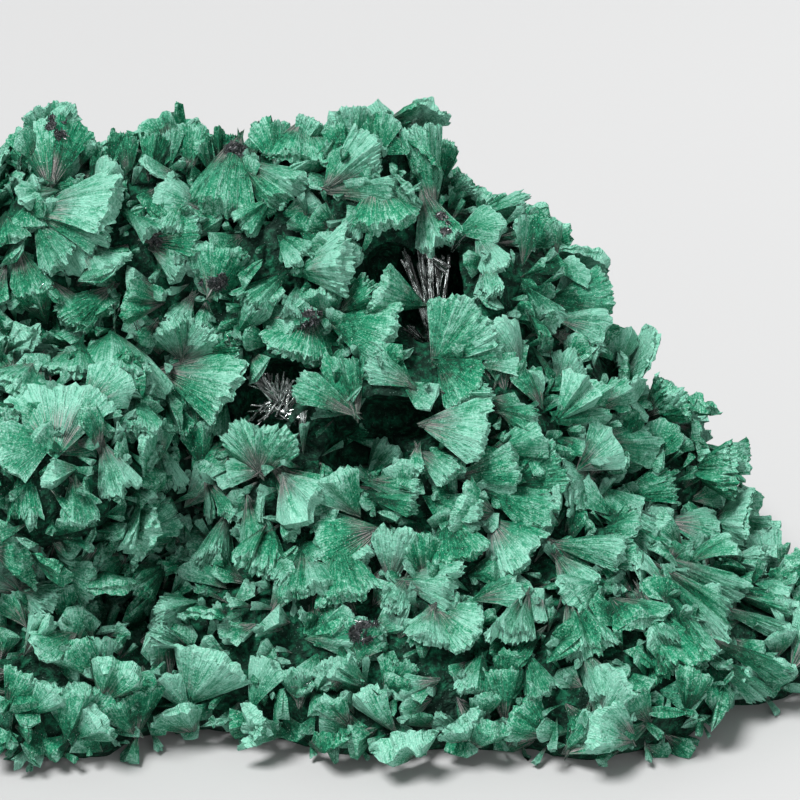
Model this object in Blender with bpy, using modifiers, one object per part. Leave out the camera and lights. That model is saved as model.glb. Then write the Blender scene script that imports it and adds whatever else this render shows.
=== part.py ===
"""A malachite specimen: a craggy mass covered with fan-shaped crystal sheaves, with needles in two hollows.

Metres, +Z up. The origin lies in the flat cut underside, and the side with the hollows looks towards -Y.
Sizes below are in millimetres and become metres where a mesh is made.
"""

import math
import random

import bmesh
import bpy
from mathutils import Matrix, Vector
from mathutils.bvhtree import BVHTree

MM = 0.001
SEED = 11

# The front view that sheaves and hollows are placed in: its middle pixel, its scale and where it looks from
VIEW_MIDDLE_PX = 400
VIEW_MM_PER_PX = 0.07
VIEW_ELEVATION = math.radians(25)
VIEW_DISTANCE = 170
VIEW_TARGET = Vector((0, 0, 20))
INWARD = Vector((0, math.cos(VIEW_ELEVATION), -math.sin(VIEW_ELEVATION)))
ACROSS = Vector((1, 0, 0))
UPWARD = ACROSS.cross(INWARD)
EYE = VIEW_TARGET - INWARD * VIEW_DISTANCE

# The mass: lobes that have grown together, each with its middle and its half sizes
LOBES = {
    "peak": ((-2.5, 11, 20), (8.5, 9, 16.2)),
    "peak_left": ((-9, 11, 18), (8, 9, 17)),
    "saddle": ((-18, 11, 18), (10.5, 8.5, 17.5)),
    "knob": ((-26, 10.5, 19.5), (6.5, 8, 16)),
    "upper_slope": ((5, 9.5, 15), (7.5, 9, 15.5)),
    "upper_shoulder": ((9, 11, 15), (5, 7.5, 12.5)),
    "shoulder": ((10.5, 10, 12), (6.5, 8, 11)),
    "back_right": ((17, 11, 5), (7.5, 7, 9)),
    "back_end": ((20, 9, 0.5), (6.5, 7, 6.8)),
    "middle": ((0, 2.5, 12), (15, 9.5, 12)),
    "foot": ((0, -2.5, 3), (25, 13, 9)),
    "left_body": ((-24, 2, 11), (9.5, 10, 11.5)),
    "near_left": ((-24.5, -5.5, 18.5), (7.5, 9.5, 6.5)),
    "low_left": ((-24, -8, 4), (10, 9, 8)),
    "low_right": ((13, -10, 3.5), (10, 7, 6)),
    "right_ridge": ((13, -3, 7), (6, 6, 6)),
    "right_end": ((22, -3, 2), (10, 7, 6)),
}
SKIN_VOXEL = 1.1
LUMP_WIDTH = 7.0
LUMP_HEIGHT = 1.5
CORE_TRIANGLES = 1200
ROCK_TRIANGLES = 9480
BELOW = 100

# A sheaf: a flattened cone, its pointed end below the surface
SHEAF_SIDES = 6
RIM_THICKNESS = 1.2
ROOT_DEPTH = 0.9
LONGEST_SHEAF = 8.0

# The sheaves that fill the rest of the surface: lengths in millimetres, angles in degrees
FILL_COUNT = 120
FILL_SPACING = 4.3
FILL_LENGTH = (4.0, 6.0)
FILL_HALF_SPREAD = (22, 38)
FILL_RISE = (5, 35)
FILL_TURN = 40
LOWEST_FILL = 1.2
UPRIGHT_BELOW = 5.0

# The hollows: the pixel of the middle, the half sizes across, up and inwards, and the depth of the middle
HOLLOWS = {
    "upper": ((430, 300), (3.0, 5.0, 4.0), 3.0),
    "left": ((274, 404), (3.2, 3.2, 3.4), 2.6),
    "middle": ((366, 458), (3.4, 2.8, 4.6), 3.0),
    "small_left": ((250, 215), (2.2, 1.5, 2.5), 1.8),
    "lower_left": ((110, 604), (3.4, 2.4, 4.5), 3.2),
    "right_gap": ((780, 636), (3.3, 1.0, 4.0), 2.8),
}

# The needle crusts. Places are across, up and inwards from the hollow's middle: the middle and half sizes of
# the lump that the needles rise from, then their radius and their tips.
NEEDLE_CRUSTS = {
    "upper_hollow_needles": {
        "hollow": "upper",
        "lump": ((0.3, -2.4, 1.4), (1.9, 1.7, 1.4)),
        "radius": 0.42,
        "tips": (
            (-2.1, 2.0, 0.4), (-1.4, 2.7, -0.6), (-0.7, 3.5, 0.6), (-0.1, 3.5, -0.5),
            (0.6, 3.3, 0.5), (1.2, 2.6, -0.2), (1.7, 1.4, 0.8), (-2.1, -1.2, -0.8),
            (-1.9, -2.4, -0.6), (-1.0, -3.4, -0.8), (-2.2, 0.2, 0.8), (0.6, -3.6, -0.4),
        ),
    },
    "left_hollow_needles": {
        "hollow": "left",
        "lump": ((0.3, 0.2, 1.3), (1.5, 1.4, 1.1)),
        "radius": 0.38,
        "tips": (
            (-1.6, 0.5, -0.6), (-1.3, 1.8, 0.2), (0.1, 2.2, -0.4), (1.2, 1.7, 0.4), (2.0, 0.8, -0.4),
            (1.9, -1.5, -0.3), (0.8, -2.1, -0.1), (-0.6, -1.7, -0.8), (-1.9, -0.7, 0.3),
        ),
    },
}
NEEDLE_TAPER = 0.55
CRUST_GAP = 0.35

MATERIALS = {
    "sheaf_malachite": ((0.095, 0.33, 0.21, 1), 0.75),
    "needle_malachite": ((0.008, 0.035, 0.024, 1), 0.2),
}

# The sheaves that stand out, by region of the front view. A row holds the pixels of the pointed end and of
# the rim's middle, half the spread that shows and the turn about the sheaf's length, both in degrees, and how
# far the rim stands off the mass in millimetres.
LEFT_KNOB = (
    ((50, 180), (48, 118), 35, 0, 0.5), ((60, 125), (66, 98), 30, 20, 0.5),
    ((42, 130), (34, 104), 28, -20, 0.5), ((24, 165), (12, 150), 25, 0, 0.5),
)
UPPER_LEFT_SLOPE = (
    ((39, 211), (128, 198), 22, 50, 1.5), ((40, 215), (118, 240), 16, 20, 1.0),
    ((39, 226), (68, 272), 24, 0, 1.6), ((88, 250), (122, 272), 28, 20, 1.2),
    ((150, 238), (208, 228), 28, -10, 1.0), ((158, 253), (186, 274), 20, 10, 1.2),
    ((213, 291), (226, 240), 42, 0, 0.6), ((239, 140), (215, 219), 20, 15, 1.4),
    ((150, 172), (156, 132), 18, 0, 0.5), ((190, 165), (192, 124), 22, 0, 0.5),
    ((92, 180), (96, 138), 9, 40, 0.8), ((112, 164), (120, 130), 9, -40, 0.8),
    ((222, 165), (228, 126), 22, -15, 0.5), ((128, 172), (124, 134), 16, 0, 0.5),
    ((170, 160), (172, 128), 18, 20, 0.4), ((275, 160), (266, 122), 22, 20, 0.5),
    ((245, 165), (300, 205), 22, 0, 0.8), ((265, 205), (236, 232), 24, 0, 0.8),
    ((180, 200), (160, 236), 24, 10, 1.0), ((285, 242), (308, 262), 28, 20, 1.2),
    ((279, 278), (243, 312), 24, 15, 1.8), ((302, 270), (362, 258), 30, 10, 2.2),
    ((58, 290), (88, 330), 24, 10, 1.0), ((20, 255), (34, 300), 26, 0, 1.0),
    ((110, 290), (60, 325), 22, -10, 0.8),
)
PEAK_AND_SADDLE = (
    ((303, 117), (303, 170), 34, 0, 1.6), ((328, 186), (382, 138), 22, 10, 1.4),
    ((330, 192), (402, 190), 12, 30, 1.2), ((377, 190), (386, 238), 42, 0, 1.2),
    ((375, 150), (373, 108), 38, 0, 0.2), ((424, 170), (419, 112), 18, 10, 0.3),
    ((424, 195), (447, 255), 22, 10, 1.2), ((298, 150), (318, 118), 26, 0, 0.4),
    ((345, 158), (336, 116), 20, 20, 0.5), ((442, 178), (445, 138), 20, 0, 0.3),
    ((455, 190), (474, 176), 26, 0, 0.4), ((360, 215), (345, 236), 22, 0, 0.8),
)
MIDDLE_SLOPE = (
    ((181, 355), (169, 314), 24, 10, 1.6), ((184, 355), (212, 322), 28, 0, 1.6),
    ((165, 370), (246, 382), 27, 20, 2.4), ((170, 378), (194, 416), 24, -10, 1.4),
    ((259, 470), (234, 418), 20, 10, 1.6), ((262, 470), (287, 424), 24, -10, 1.6),
    ((259, 470), (220, 472), 20, 20, 1.2), ((335, 322), (404, 337), 27, 10, 2.2),
    ((308, 318), (288, 365), 38, 0, 1.6), ((297, 291), (290, 319), 14, 20, 2.4),
    ((322, 316), (320, 285), 34, 0, 1.2), ((352, 413), (291, 380), 16, 20, 2.2),
    ((355, 412), (338, 350), 20, -10, 1.2), ((408, 382), (365, 361), 22, 10, 1.6),
    ((345, 310), (385, 284), 24, 0, 1.0), ((190, 300), (172, 330), 20, 0, 1.2),
    ((205, 350), (238, 345), 18, 0, 0.8), ((222, 405), (214, 440), 24, 0, 1.2),
    ((240, 330), (262, 300), 22, 0, 0.8),
)
AROUND_THE_HOLLOWS = (
    ((439, 358), (480, 296), 38, 5, 2.6), ((441, 358), (506, 331), 20, -15, 2.0),
    ((444, 365), (478, 396), 34, 0, 1.4), ((485, 268), (495, 303), 10, 50, 1.4),
    ((377, 497), (428, 502), 20, 10, 1.8), ((372, 483), (424, 476), 16, 30, 1.2),
    ((423, 456), (458, 478), 22, 20, 1.8), ((419, 452), (415, 478), 10, 60, 1.4),
    ((429, 425), (498, 433), 30, 15, 2.4), ((505, 412), (541, 425), 24, 0, 1.4),
    ((460, 476), (528, 457), 18, 25, 2.2), ((520, 478), (572, 455), 36, 0, 2.0),
    ((493, 492), (564, 520), 24, 15, 2.2), ((447, 516), (484, 511), 14, 40, 2.2),
    ((446, 514), (466, 566), 28, 0, 1.8), ((496, 527), (528, 570), 38, 0, 2.0),
    ((505, 540), (543, 528), 24, 10, 1.6), ((450, 395), (500, 400), 20, 0, 1.0),
)
FRONT_FOOT = (
    ((337, 540), (352, 606), 22, 0, 2.0), ((339, 541), (372, 562), 25, 10, 1.6),
    ((303, 546), (325, 604), 22, 0, 2.2), ((303, 546), (293, 611), 12, 20, 1.8),
    ((300, 548), (276, 592), 15, 0, 1.6), ((303, 545), (331, 555), 18, 40, 1.6),
    ((392, 574), (398, 523), 27, 0, 1.4), ((425, 575), (420, 531), 28, 0, 1.0),
    ((407, 581), (466, 584), 24, 20, 2.2), ((405, 582), (390, 612), 18, 0, 1.6),
    ((332, 521), (332, 539), 38, 0, 1.6), ((226, 516), (208, 571), 14, 0, 2.4),
    ((268, 528), (255, 575), 24, 0, 1.6), ((205, 482), (234, 525), 6, 50, 1.6),
    ((363, 652), (363, 615), 40, 0, 1.0), ((432, 611), (424, 650), 30, 0, 1.6),
    ((440, 610), (480, 640), 34, 0, 1.8), ((526, 598), (506, 648), 18, 20, 2.2),
    ((554, 543), (632, 550), 14, 30, 2.4), ((600, 560), (640, 543), 30, 30, 1.6),
    ((337, 680), (337, 652), 42, 0, 0.8), ((300, 697), (295, 666), 28, 0, 0.8),
    ((390, 690), (402, 655), 28, 0, 0.8),
)
NEAR_LEFT_LOBE = (
    ((133, 538), (182, 506), 24, 10, 1.8), ((112, 336), (112, 382), 28, 0, 1.6),
    ((81, 335), (75, 377), 20, 0, 1.6), ((136, 400), (137, 438), 26, 0, 1.6),
    ((55, 450), (55, 378), 38, 0, 1.0), ((20, 438), (22, 536), 11, 20, 2.2),
    ((75, 486), (82, 532), 26, 0, 1.8), ((165, 566), (126, 590), 18, 10, 1.8),
    ((194, 604), (155, 616), 20, 0, 1.8), ((182, 645), (150, 632), 15, 0, 1.8),
    ((12, 702), (30, 670), 30, 0, 1.0), ((170, 400), (176, 440), 22, 0, 1.6),
    ((160, 450), (176, 495), 20, 0, 1.6), ((105, 450), (125, 500), 24, 0, 1.8),
    ((40, 360), (15, 400), 24, 0, 1.0), ((20, 590), (60, 610), 22, 0, 1.6),
)
RIGHT_RIDGE = (
    ((600, 498), (688, 560), 15, 10, 1.0), ((655, 560), (752, 602), 18, 10, 1.6),
    ((655, 565), (744, 652), 20, 0, 1.6), ((660, 575), (712, 690), 18, 0, 1.6),
    ((740, 600), (798, 618), 22, 10, 1.4), ((700, 640), (790, 672), 20, 10, 1.4),
    ((640, 598), (688, 682), 20, 0, 1.8), ((570, 600), (600, 662), 18, 10, 1.6),
    ((585, 655), (612, 702), 18, 0, 1.4), ((530, 660), (548, 702), 20, 0, 1.2),
    ((560, 560), (590, 600), 22, 0, 1.2), ((480, 660), (470, 700), 24, 0, 1.2),
)
BACK_EDGE = (
    ((480, 215), (534, 200), 15, 10, 0.6), ((555, 300), (614, 298), 28, 0, 0.6),
    ((518, 242), (550, 228), 24, 0, 0.5), ((560, 335), (600, 345), 24, 0, 0.8),
    ((600, 405), (636, 380), 22, 10, 0.5), ((648, 415), (684, 390), 24, 0, 0.5),
    ((690, 430), (700, 440), 24, 0, 0.5), ((698, 470), (736, 470), 22, 0, 0.6),
    ((718, 520), (750, 522), 22, 0, 0.6), ((735, 560), (768, 562), 22, 0, 0.6),
    ((598, 440), (650, 432), 20, 10, 0.8), ((556, 420), (600, 402), 22, 0, 0.8),
    ((620, 498), (680, 482), 18, 20, 0.8), ((528, 292), (556, 330), 22, 0, 0.8),
    ((480, 240), (500, 276), 22, 0, 1.0), ((560, 385), (575, 352), 24, 0, 0.8),
)
PLACED_SHEAVES = (
    LEFT_KNOB + UPPER_LEFT_SLOPE + PEAK_AND_SADDLE + MIDDLE_SLOPE + AROUND_THE_HOLLOWS
    + FRONT_FOOT + NEAR_LEFT_LOBE + RIGHT_RIDGE + BACK_EDGE
)


def clear_scene():
    for thing in list(bpy.data.objects):
        bpy.data.objects.remove(thing)


def new_collection(name, shown=True):
    made = bpy.data.collections.new(name)
    made.hide_render = not shown
    bpy.context.scene.collection.children.link(made)
    return made


def new_object(name, mesh, collection):
    """An object in a collection. In a collection that isn't rendered it is a tool, drawn as wires."""
    made = bpy.data.objects.new(name, mesh)
    collection.objects.link(made)
    if collection.hide_render:
        made.hide_render = True
        made.display_type = "WIRE"
    return made


def mesh_of(name, form):
    """A mesh in metres, faces outwards, from a form in millimetres."""
    bmesh.ops.recalc_face_normals(form, faces=form.faces)
    bmesh.ops.scale(form, vec=(MM, MM, MM), verts=form.verts)
    mesh = bpy.data.meshes.new(name)
    form.to_mesh(mesh)
    form.free()
    return mesh


def shaped_mesh(thing):
    """An object's mesh with its modifiers applied."""
    bpy.context.view_layer.update()
    graph = bpy.context.evaluated_depsgraph_get()
    return bpy.data.meshes.new_from_object(thing.evaluated_get(graph))


def paint(thing, slot):
    colour, roughness = MATERIALS[slot]
    made = bpy.data.materials.new(slot)
    made.use_nodes = True
    shader = made.node_tree.nodes["Principled BSDF"]
    shader.inputs["Base Color"].default_value = colour
    shader.inputs["Roughness"].default_value = roughness
    shader.inputs["Metallic"].default_value = 0
    thing.data.materials.clear()
    thing.data.materials.append(made)


# Modifiers

def decimate(thing, triangles):
    """Leaves about this many triangles."""
    now = sum(len(face.vertices) - 2 for face in shaped_mesh(thing).polygons)
    fewer = thing.modifiers.new("fewer faces", "DECIMATE")
    fewer.ratio = triangles / now
    fewer.use_collapse_triangulate = True


def combine(thing, operation, shapes):
    """A Boolean with every shape of a collection."""
    change = thing.modifiers.new(shapes.name, "BOOLEAN")
    change.operation = operation
    change.operand_type = "COLLECTION"
    change.collection = shapes
    change.solver = "EXACT"


def settle(thing):
    """Keeps the outcome of an object's modifiers as its mesh, less the pockets closed in between sheaves."""
    mesh = shaped_mesh(thing)
    form = bmesh.new()
    form.from_mesh(mesh)
    left = set(form.faces)
    pieces = []
    while left:
        piece = set()
        newest = {left.pop()}
        while newest:
            piece |= newest
            newest = {near for face in newest for edge in face.edges for near in edge.link_faces} - piece
        left -= piece
        pieces.append(piece)
    kept = max(pieces, key=len)
    bmesh.ops.delete(form, geom=[face for face in form.faces if face not in kept], context="FACES")
    form.to_mesh(mesh)
    form.free()
    thing.modifiers.clear()
    thing.data = mesh


# The mass

def ellipsoid(form, frame, middle, half, subdivisions):
    place = frame @ Matrix.Translation(middle) @ Matrix.Diagonal(half).to_4x4()
    bmesh.ops.create_icosphere(form, subdivisions=subdivisions, radius=1, matrix=place)


def core_mesh(collection):
    """The mass under the sheaves: its lobes under one skin, lumpy all over."""
    form = bmesh.new()
    for middle, half in LOBES.values():
        ellipsoid(form, Matrix.Identity(4), middle, half, 4)
    thing = new_object("core", mesh_of("lobes", form), collection)
    skin = thing.modifiers.new("one skin", "REMESH")
    skin.mode = "VOXEL"
    skin.voxel_size = SKIN_VOXEL * MM
    soft = thing.modifiers.new("soft joins", "SMOOTH")
    soft.iterations = 6
    lumps = bpy.data.textures.new("lumps", "CLOUDS")
    lumps.noise_scale = LUMP_WIDTH * MM
    lumps.noise_depth = 2
    raised = thing.modifiers.new("lumps", "DISPLACE")
    raised.texture = lumps
    raised.texture_coords = "OBJECT"
    raised.strength = 2 * LUMP_HEIGHT * MM
    decimate(thing, CORE_TRIANGLES)
    mesh = shaped_mesh(thing)
    bpy.data.objects.remove(thing)
    return mesh


def surface_tree(mesh):
    """A mesh to search for points of its surface, in millimetres."""
    points = [vert.co / MM for vert in mesh.vertices]
    return BVHTree.FromPolygons(points, [tuple(face.vertices) for face in mesh.polygons])


# Places in the front view

def sight_of(pixel):
    across = (pixel[0] - VIEW_MIDDLE_PX) * VIEW_MM_PER_PX
    upward = (VIEW_MIDDLE_PX - pixel[1]) * VIEW_MM_PER_PX
    return (INWARD * VIEW_DISTANCE + ACROSS * across + UPWARD * upward).normalized()


def spot_under(pixel, surface):
    """Where the line of sight of a pixel meets the mass or, off its edge, passes closest to it."""
    sight = sight_of(pixel)
    spot = surface.ray_cast(EYE, sight)[0]
    if spot:
        return spot
    along = VIEW_DISTANCE
    for _ in range(6):
        along = (surface.find_nearest(EYE + sight * along)[0] - EYE).dot(sight)
    return EYE + sight * along


def hollow_frame(name, surface):
    """Axes across, up and inwards from a hollow's middle."""
    pixel, _, depth = HOLLOWS[name]
    axes = Matrix((ACROSS, UPWARD, INWARD)).transposed().to_4x4()
    return Matrix.Translation(spot_under(pixel, surface) + sight_of(pixel) * depth) @ axes


# Sheaves: each is its pointed end, its direction, its side, its length and half its spread

def turned(side, along, degrees):
    return Matrix.Rotation(math.radians(degrees), 3, along) @ side


def placed_sheaf(row, surface):
    """A sheaf given in the front view. Of the two ways to turn it, it takes the one that shows a front to the sky."""
    point_px, rim_px, spread, turn, stand_off = row
    point = spot_under(point_px, surface)
    rim = spot_under(rim_px, surface)
    sight = (rim - EYE).normalized()
    rim -= sight * stand_off
    along = (rim - point).normalized()
    length = min((rim - point).length, LONGEST_SHEAF)
    across = along.cross(sight).normalized()
    side = max((turned(across, along, way) for way in (turn, -turn)), key=lambda side: along.cross(side).z)
    half = math.atan(math.tan(math.radians(spread)) / math.cos(math.radians(turn)))
    return rim - along * length, along, side, length, half


def fill_sheaves(core, taken, rng):
    """Sheaves spread over the surface between the placed ones, lying on it or rising a little."""
    core.calc_loop_triangles()
    triangles = list(core.loop_triangles)
    areas = [triangle.area for triangle in triangles]
    found = []
    for triangle in rng.choices(triangles, areas, k=40 * FILL_COUNT):
        point = triangle.center / MM
        if point.z < LOWEST_FILL or min((point - other).length for other in taken) < FILL_SPACING:
            continue
        taken.append(point)
        normal = Vector(triangle.normal)
        lean = Vector((rng.uniform(-1, 1), rng.uniform(-1, 1), rng.uniform(-0.4, 1)))
        if point.z < UPRIGHT_BELOW:
            lean.z = 1
        lean = (lean - normal * lean.dot(normal)).normalized()
        rise = math.radians(rng.uniform(*FILL_RISE))
        along = lean * math.cos(rise) + normal * math.sin(rise)
        side = turned(along.cross(normal).normalized(), along, rng.uniform(-FILL_TURN, FILL_TURN))
        half = math.radians(rng.uniform(*FILL_HALF_SPREAD))
        found.append((point, along, side, rng.uniform(*FILL_LENGTH), half))
        if len(found) == FILL_COUNT:
            break
    return found


def sheaf_mesh(point, along, side, length, half):
    """A flattened cone whose rim is bent to an arc about its pointed end."""
    form = bmesh.new()
    bmesh.ops.create_cone(
        form, cap_ends=True, cap_tris=True, segments=SHEAF_SIDES, radius1=1, radius2=0, depth=1
    )
    root = point - along * ROOT_DEPTH
    reach = length + ROOT_DEPTH
    thick = along.cross(side) * RIM_THICKNESS / 2
    for vert in form.verts:
        out = 0.5 - vert.co.z
        angle = vert.co.x * half
        spoke = side * math.sin(angle) + along * math.cos(angle)
        vert.co = root + (spoke * reach + thick * vert.co.y) * out
    return mesh_of("sheaf", form)


# Needles

def needle_mesh(frame, root, tip, radius):
    """A four-sided prism, thinner at its tip."""
    form = bmesh.new()
    line = Vector(tip) - Vector(root)
    upright = line.to_track_quat("Z", "Y").to_matrix().to_4x4()
    place = frame @ Matrix.Translation(Vector(root) + line / 2) @ upright
    bmesh.ops.create_cone(
        form, cap_ends=True, segments=4, radius1=radius, radius2=radius * NEEDLE_TAPER,
        depth=line.length, matrix=place,
    )
    return mesh_of("needle", form)


def grow_crust(name, crust, surface, collection):
    """Needles that rise from a lump at the back of a hollow, kept clear of the hollow's wall."""
    frame = hollow_frame(crust["hollow"], surface)
    middle, half = crust["lump"]
    form = bmesh.new()
    ellipsoid(form, frame, middle, half, 1)
    thing = new_object(name, mesh_of(name, form), collection)
    needles = new_collection(f"{name}_prisms", shown=False)
    for tip in crust["tips"]:
        new_object("needle", needle_mesh(frame, middle, tip, crust["radius"]), needles)
    room = new_collection(f"{name}_room", shown=False)
    form = bmesh.new()
    ellipsoid(form, frame, (0, 0, 0), [size - CRUST_GAP for size in HOLLOWS[crust["hollow"]][1]], 2)
    new_object("room", mesh_of("room", form), room)
    combine(thing, "UNION", needles)
    combine(thing, "INTERSECT", room)
    settle(thing)
    paint(thing, "needle_malachite")


# The specimen

def grow_rock(core, surface, collection):
    """The mass with its sheaves grown on, its hollows and its cut underside, all one solid."""
    rng = random.Random(SEED)
    placed = [placed_sheaf(row, surface) for row in PLACED_SHEAVES]
    taken = [point + along * length / 2 for point, along, _, length, _ in placed]
    sheaves = new_collection("sheaves", shown=False)
    for sheaf in placed + fill_sheaves(core, taken, rng):
        new_object("sheaf", sheaf_mesh(*sheaf), sheaves)
    hollows = new_collection("hollows", shown=False)
    for name, (_, half, _) in HOLLOWS.items():
        form = bmesh.new()
        ellipsoid(form, hollow_frame(name, surface), (0, 0, 0), half, 2)
        new_object(f"{name}_hollow", mesh_of("hollow", form), hollows)
    below = new_collection("below_the_cut", shown=False)
    form = bmesh.new()
    bmesh.ops.create_cube(form, size=BELOW, matrix=Matrix.Translation((0, 0, -BELOW / 2)))
    new_object("block", mesh_of("block", form), below)
    rock = new_object("malachite", core, collection)
    combine(rock, "UNION", sheaves)
    combine(rock, "DIFFERENCE", hollows)
    settle(rock)
    decimate(rock, ROCK_TRIANGLES)
    combine(rock, "DIFFERENCE", below)
    settle(rock)
    paint(rock, "sheaf_malachite")


clear_scene()
specimen = new_collection("malachite_specimen")
core = core_mesh(specimen)
surface = surface_tree(core)
grow_rock(core, surface, specimen)
for name, crust in NEEDLE_CRUSTS.items():
    grow_crust(name, crust, surface, specimen)
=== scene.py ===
# %% [markdown]
# # A malachite specimen
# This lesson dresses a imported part, one craggy mass of malachite, for a close-up picture. The part's solids hold
# the main shapes: lobes, hollows and the larger fan-shaped sheaves. Here the same lobes and sheaves are made again
# with far more faces, because a sheaf is a bundle of fine fibres, and its look is in its ribs and its ragged rim.
# The frame is in metres. Sizes below are in millimetres, and a mesh becomes metres when it is made.

# %% Load the frame
import math
import random

import bmesh
import bpy
import numpy as np
from mathutils import Matrix, Vector
from mathutils.bvhtree import BVHTree


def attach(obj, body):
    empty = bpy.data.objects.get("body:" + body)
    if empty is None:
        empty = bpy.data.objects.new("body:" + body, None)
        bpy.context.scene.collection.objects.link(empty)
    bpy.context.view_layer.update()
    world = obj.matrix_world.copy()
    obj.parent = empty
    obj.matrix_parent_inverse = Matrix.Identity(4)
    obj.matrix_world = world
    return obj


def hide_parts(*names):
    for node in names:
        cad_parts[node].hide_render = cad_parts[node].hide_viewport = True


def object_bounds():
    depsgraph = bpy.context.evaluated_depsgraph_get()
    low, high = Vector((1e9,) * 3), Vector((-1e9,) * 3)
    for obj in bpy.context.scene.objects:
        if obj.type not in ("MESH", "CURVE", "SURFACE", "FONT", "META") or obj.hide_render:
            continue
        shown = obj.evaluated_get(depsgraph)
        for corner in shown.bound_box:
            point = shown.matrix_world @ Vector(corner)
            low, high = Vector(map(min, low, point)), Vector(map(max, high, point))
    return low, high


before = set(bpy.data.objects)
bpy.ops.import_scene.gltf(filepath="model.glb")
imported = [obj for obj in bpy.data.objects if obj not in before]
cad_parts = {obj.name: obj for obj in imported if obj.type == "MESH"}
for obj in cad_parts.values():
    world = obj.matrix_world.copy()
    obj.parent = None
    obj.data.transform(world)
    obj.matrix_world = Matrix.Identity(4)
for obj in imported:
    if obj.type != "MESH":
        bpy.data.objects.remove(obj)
CAD_BOX = [list(corner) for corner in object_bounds()]
MM = 0.001
SEED = 11
LOW, HIGH = (np.array(corner) / MM for corner in CAD_BOX)
print("nodes:", ", ".join(sorted(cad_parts)))
print("box in mm:", LOW.round(1), HIGH.round(1))

# %% [markdown]
# ## The front view
# The sheaves are placed in a front view of 800 by 800 pixels, looked at from 25 degrees above the horizon. A pixel
# alone says nothing about depth. It becomes a place on the specimen where its line of sight meets the mass, so
# every sheaf stands on the rock that carries it and looks right from any side.

# %% The front view's measures
VIEW_MIDDLE_PX = 400
VIEW_MM_PER_PX = 0.07
VIEW_ELEVATION = math.radians(25)
VIEW_DISTANCE = 170
VIEW_TARGET = Vector((0, 0, 20))
INWARD = Vector((0, math.cos(VIEW_ELEVATION), -math.sin(VIEW_ELEVATION)))
ACROSS = Vector((1, 0, 0))
UPWARD = ACROSS.cross(INWARD)
EYE = VIEW_TARGET - INWARD * VIEW_DISTANCE
print("the eye is at", [round(side) for side in EYE], "mm")


def sight_of(pixel):
    across = (pixel[0] - VIEW_MIDDLE_PX) * VIEW_MM_PER_PX
    upward = (VIEW_MIDDLE_PX - pixel[1]) * VIEW_MM_PER_PX
    return (INWARD * VIEW_DISTANCE + ACROSS * across + UPWARD * upward).normalized()


def spot_under(pixel, surface):
    """Where the line of sight of a pixel meets the mass or, off its edge, passes closest to it."""
    sight = sight_of(pixel)
    spot = surface.ray_cast(EYE, sight)[0]
    if spot:
        return spot
    along = VIEW_DISTANCE
    for _ in range(6):
        along = (surface.find_nearest(EYE + sight * along)[0] - EYE).dot(sight)
    return EYE + sight * along


# %% [markdown]
# ## Materials from expressions
# Every finish here is built from shader nodes in code. A graph written node by node is hard to read, so a small
# class wraps a socket and gives it the arithmetic operators: 1 - mask makes its own Math node. Colours never go
# through a Math node, which would turn them grey, but through Mix. Any other node comes from one method.

# %% A small shader language
class Wire:
    """An output socket that takes part in arithmetic."""

    def __init__(self, graph, socket):
        self.graph = graph
        self.socket = socket

    def _math(self, operation, *values):
        return self.graph.node("ShaderNodeMath", {"operation": operation}, dict(enumerate(values)))

    def __add__(self, other):
        return self._math("ADD", self, other)

    def __sub__(self, other):
        return self._math("SUBTRACT", self, other)

    def __rsub__(self, other):
        return self._math("SUBTRACT", other, self)

    def __mul__(self, other):
        return self._math("MULTIPLY", self, other)

    def __truediv__(self, other):
        return self._math("DIVIDE", self, other)

    def __rtruediv__(self, other):
        return self._math("DIVIDE", other, self)

    def __pow__(self, other):
        return self._math("POWER", self, other)

    __radd__ = __add__
    __rmul__ = __mul__

    def ramp(self, low, high):
        """0 below one value, 1 above the other, and a smooth change between them."""
        return self.graph.node(
            "ShaderNodeMapRange", {"interpolation_type": "SMOOTHSTEP"}, {0: self, 1: low, 2: high}
        )


class Graph:
    """A material's nodes. Its principled shader is made with the material."""

    def __init__(self, name):
        self.material = bpy.data.materials.new(name)
        self.material.use_nodes = True
        self.tree = self.material.node_tree
        self.shader = self.tree.nodes["Principled BSDF"]

    def fill(self, node, values):
        for key, value in values.items():
            if isinstance(value, Wire):
                self.tree.links.new(value.socket, node.inputs[key])
            else:
                node.inputs[key].default_value = value

    def node(self, kind, settings=None, values=None, output=0):
        made = self.tree.nodes.new(kind)
        for key, value in (settings or {}).items():
            setattr(made, key, value)
        self.fill(made, values or {})
        return Wire(self, made.outputs[output])

    def noise(self, vector, scale, detail=3, roughness=0.55):
        return self.node(
            "ShaderNodeTexNoise", None,
            {"Vector": vector, "Scale": scale, "Detail": detail, "Roughness": roughness},
        )

    def mix(self, factor, first, second):
        """A colour between two colours."""
        return self.node(
            "ShaderNodeMix", {"data_type": "RGBA", "clamp_factor": True}, {0: factor, 6: first, 7: second}, output=2
        )

    def split(self, vector):
        """The first two components of a vector."""
        parts = self.tree.nodes.new("ShaderNodeSeparateXYZ")
        self.tree.links.new(vector.socket, parts.inputs[0])
        return Wire(self, parts.outputs[0]), Wire(self, parts.outputs[1])

    def place(self):
        return self.node("ShaderNodeTexCoord", output=3)

    def attribute(self, name):
        """A number that every point of the mesh carries."""
        return self.node("ShaderNodeAttribute", {"attribute_name": name}, output=2)

    def bump(self, height, distance, strength=1.0, normal=None):
        values = {"Height": height, "Distance": distance, "Strength": strength}
        if normal:
            values["Normal"] = normal
        return self.node("ShaderNodeBump", None, values)

    def finish(self, **sockets):
        """Sets the shader's sockets. A name's underscores stand for spaces."""
        self.fill(self.shader, {key.replace("_", " "): value for key, value in sockets.items()})
        return self.material


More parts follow.
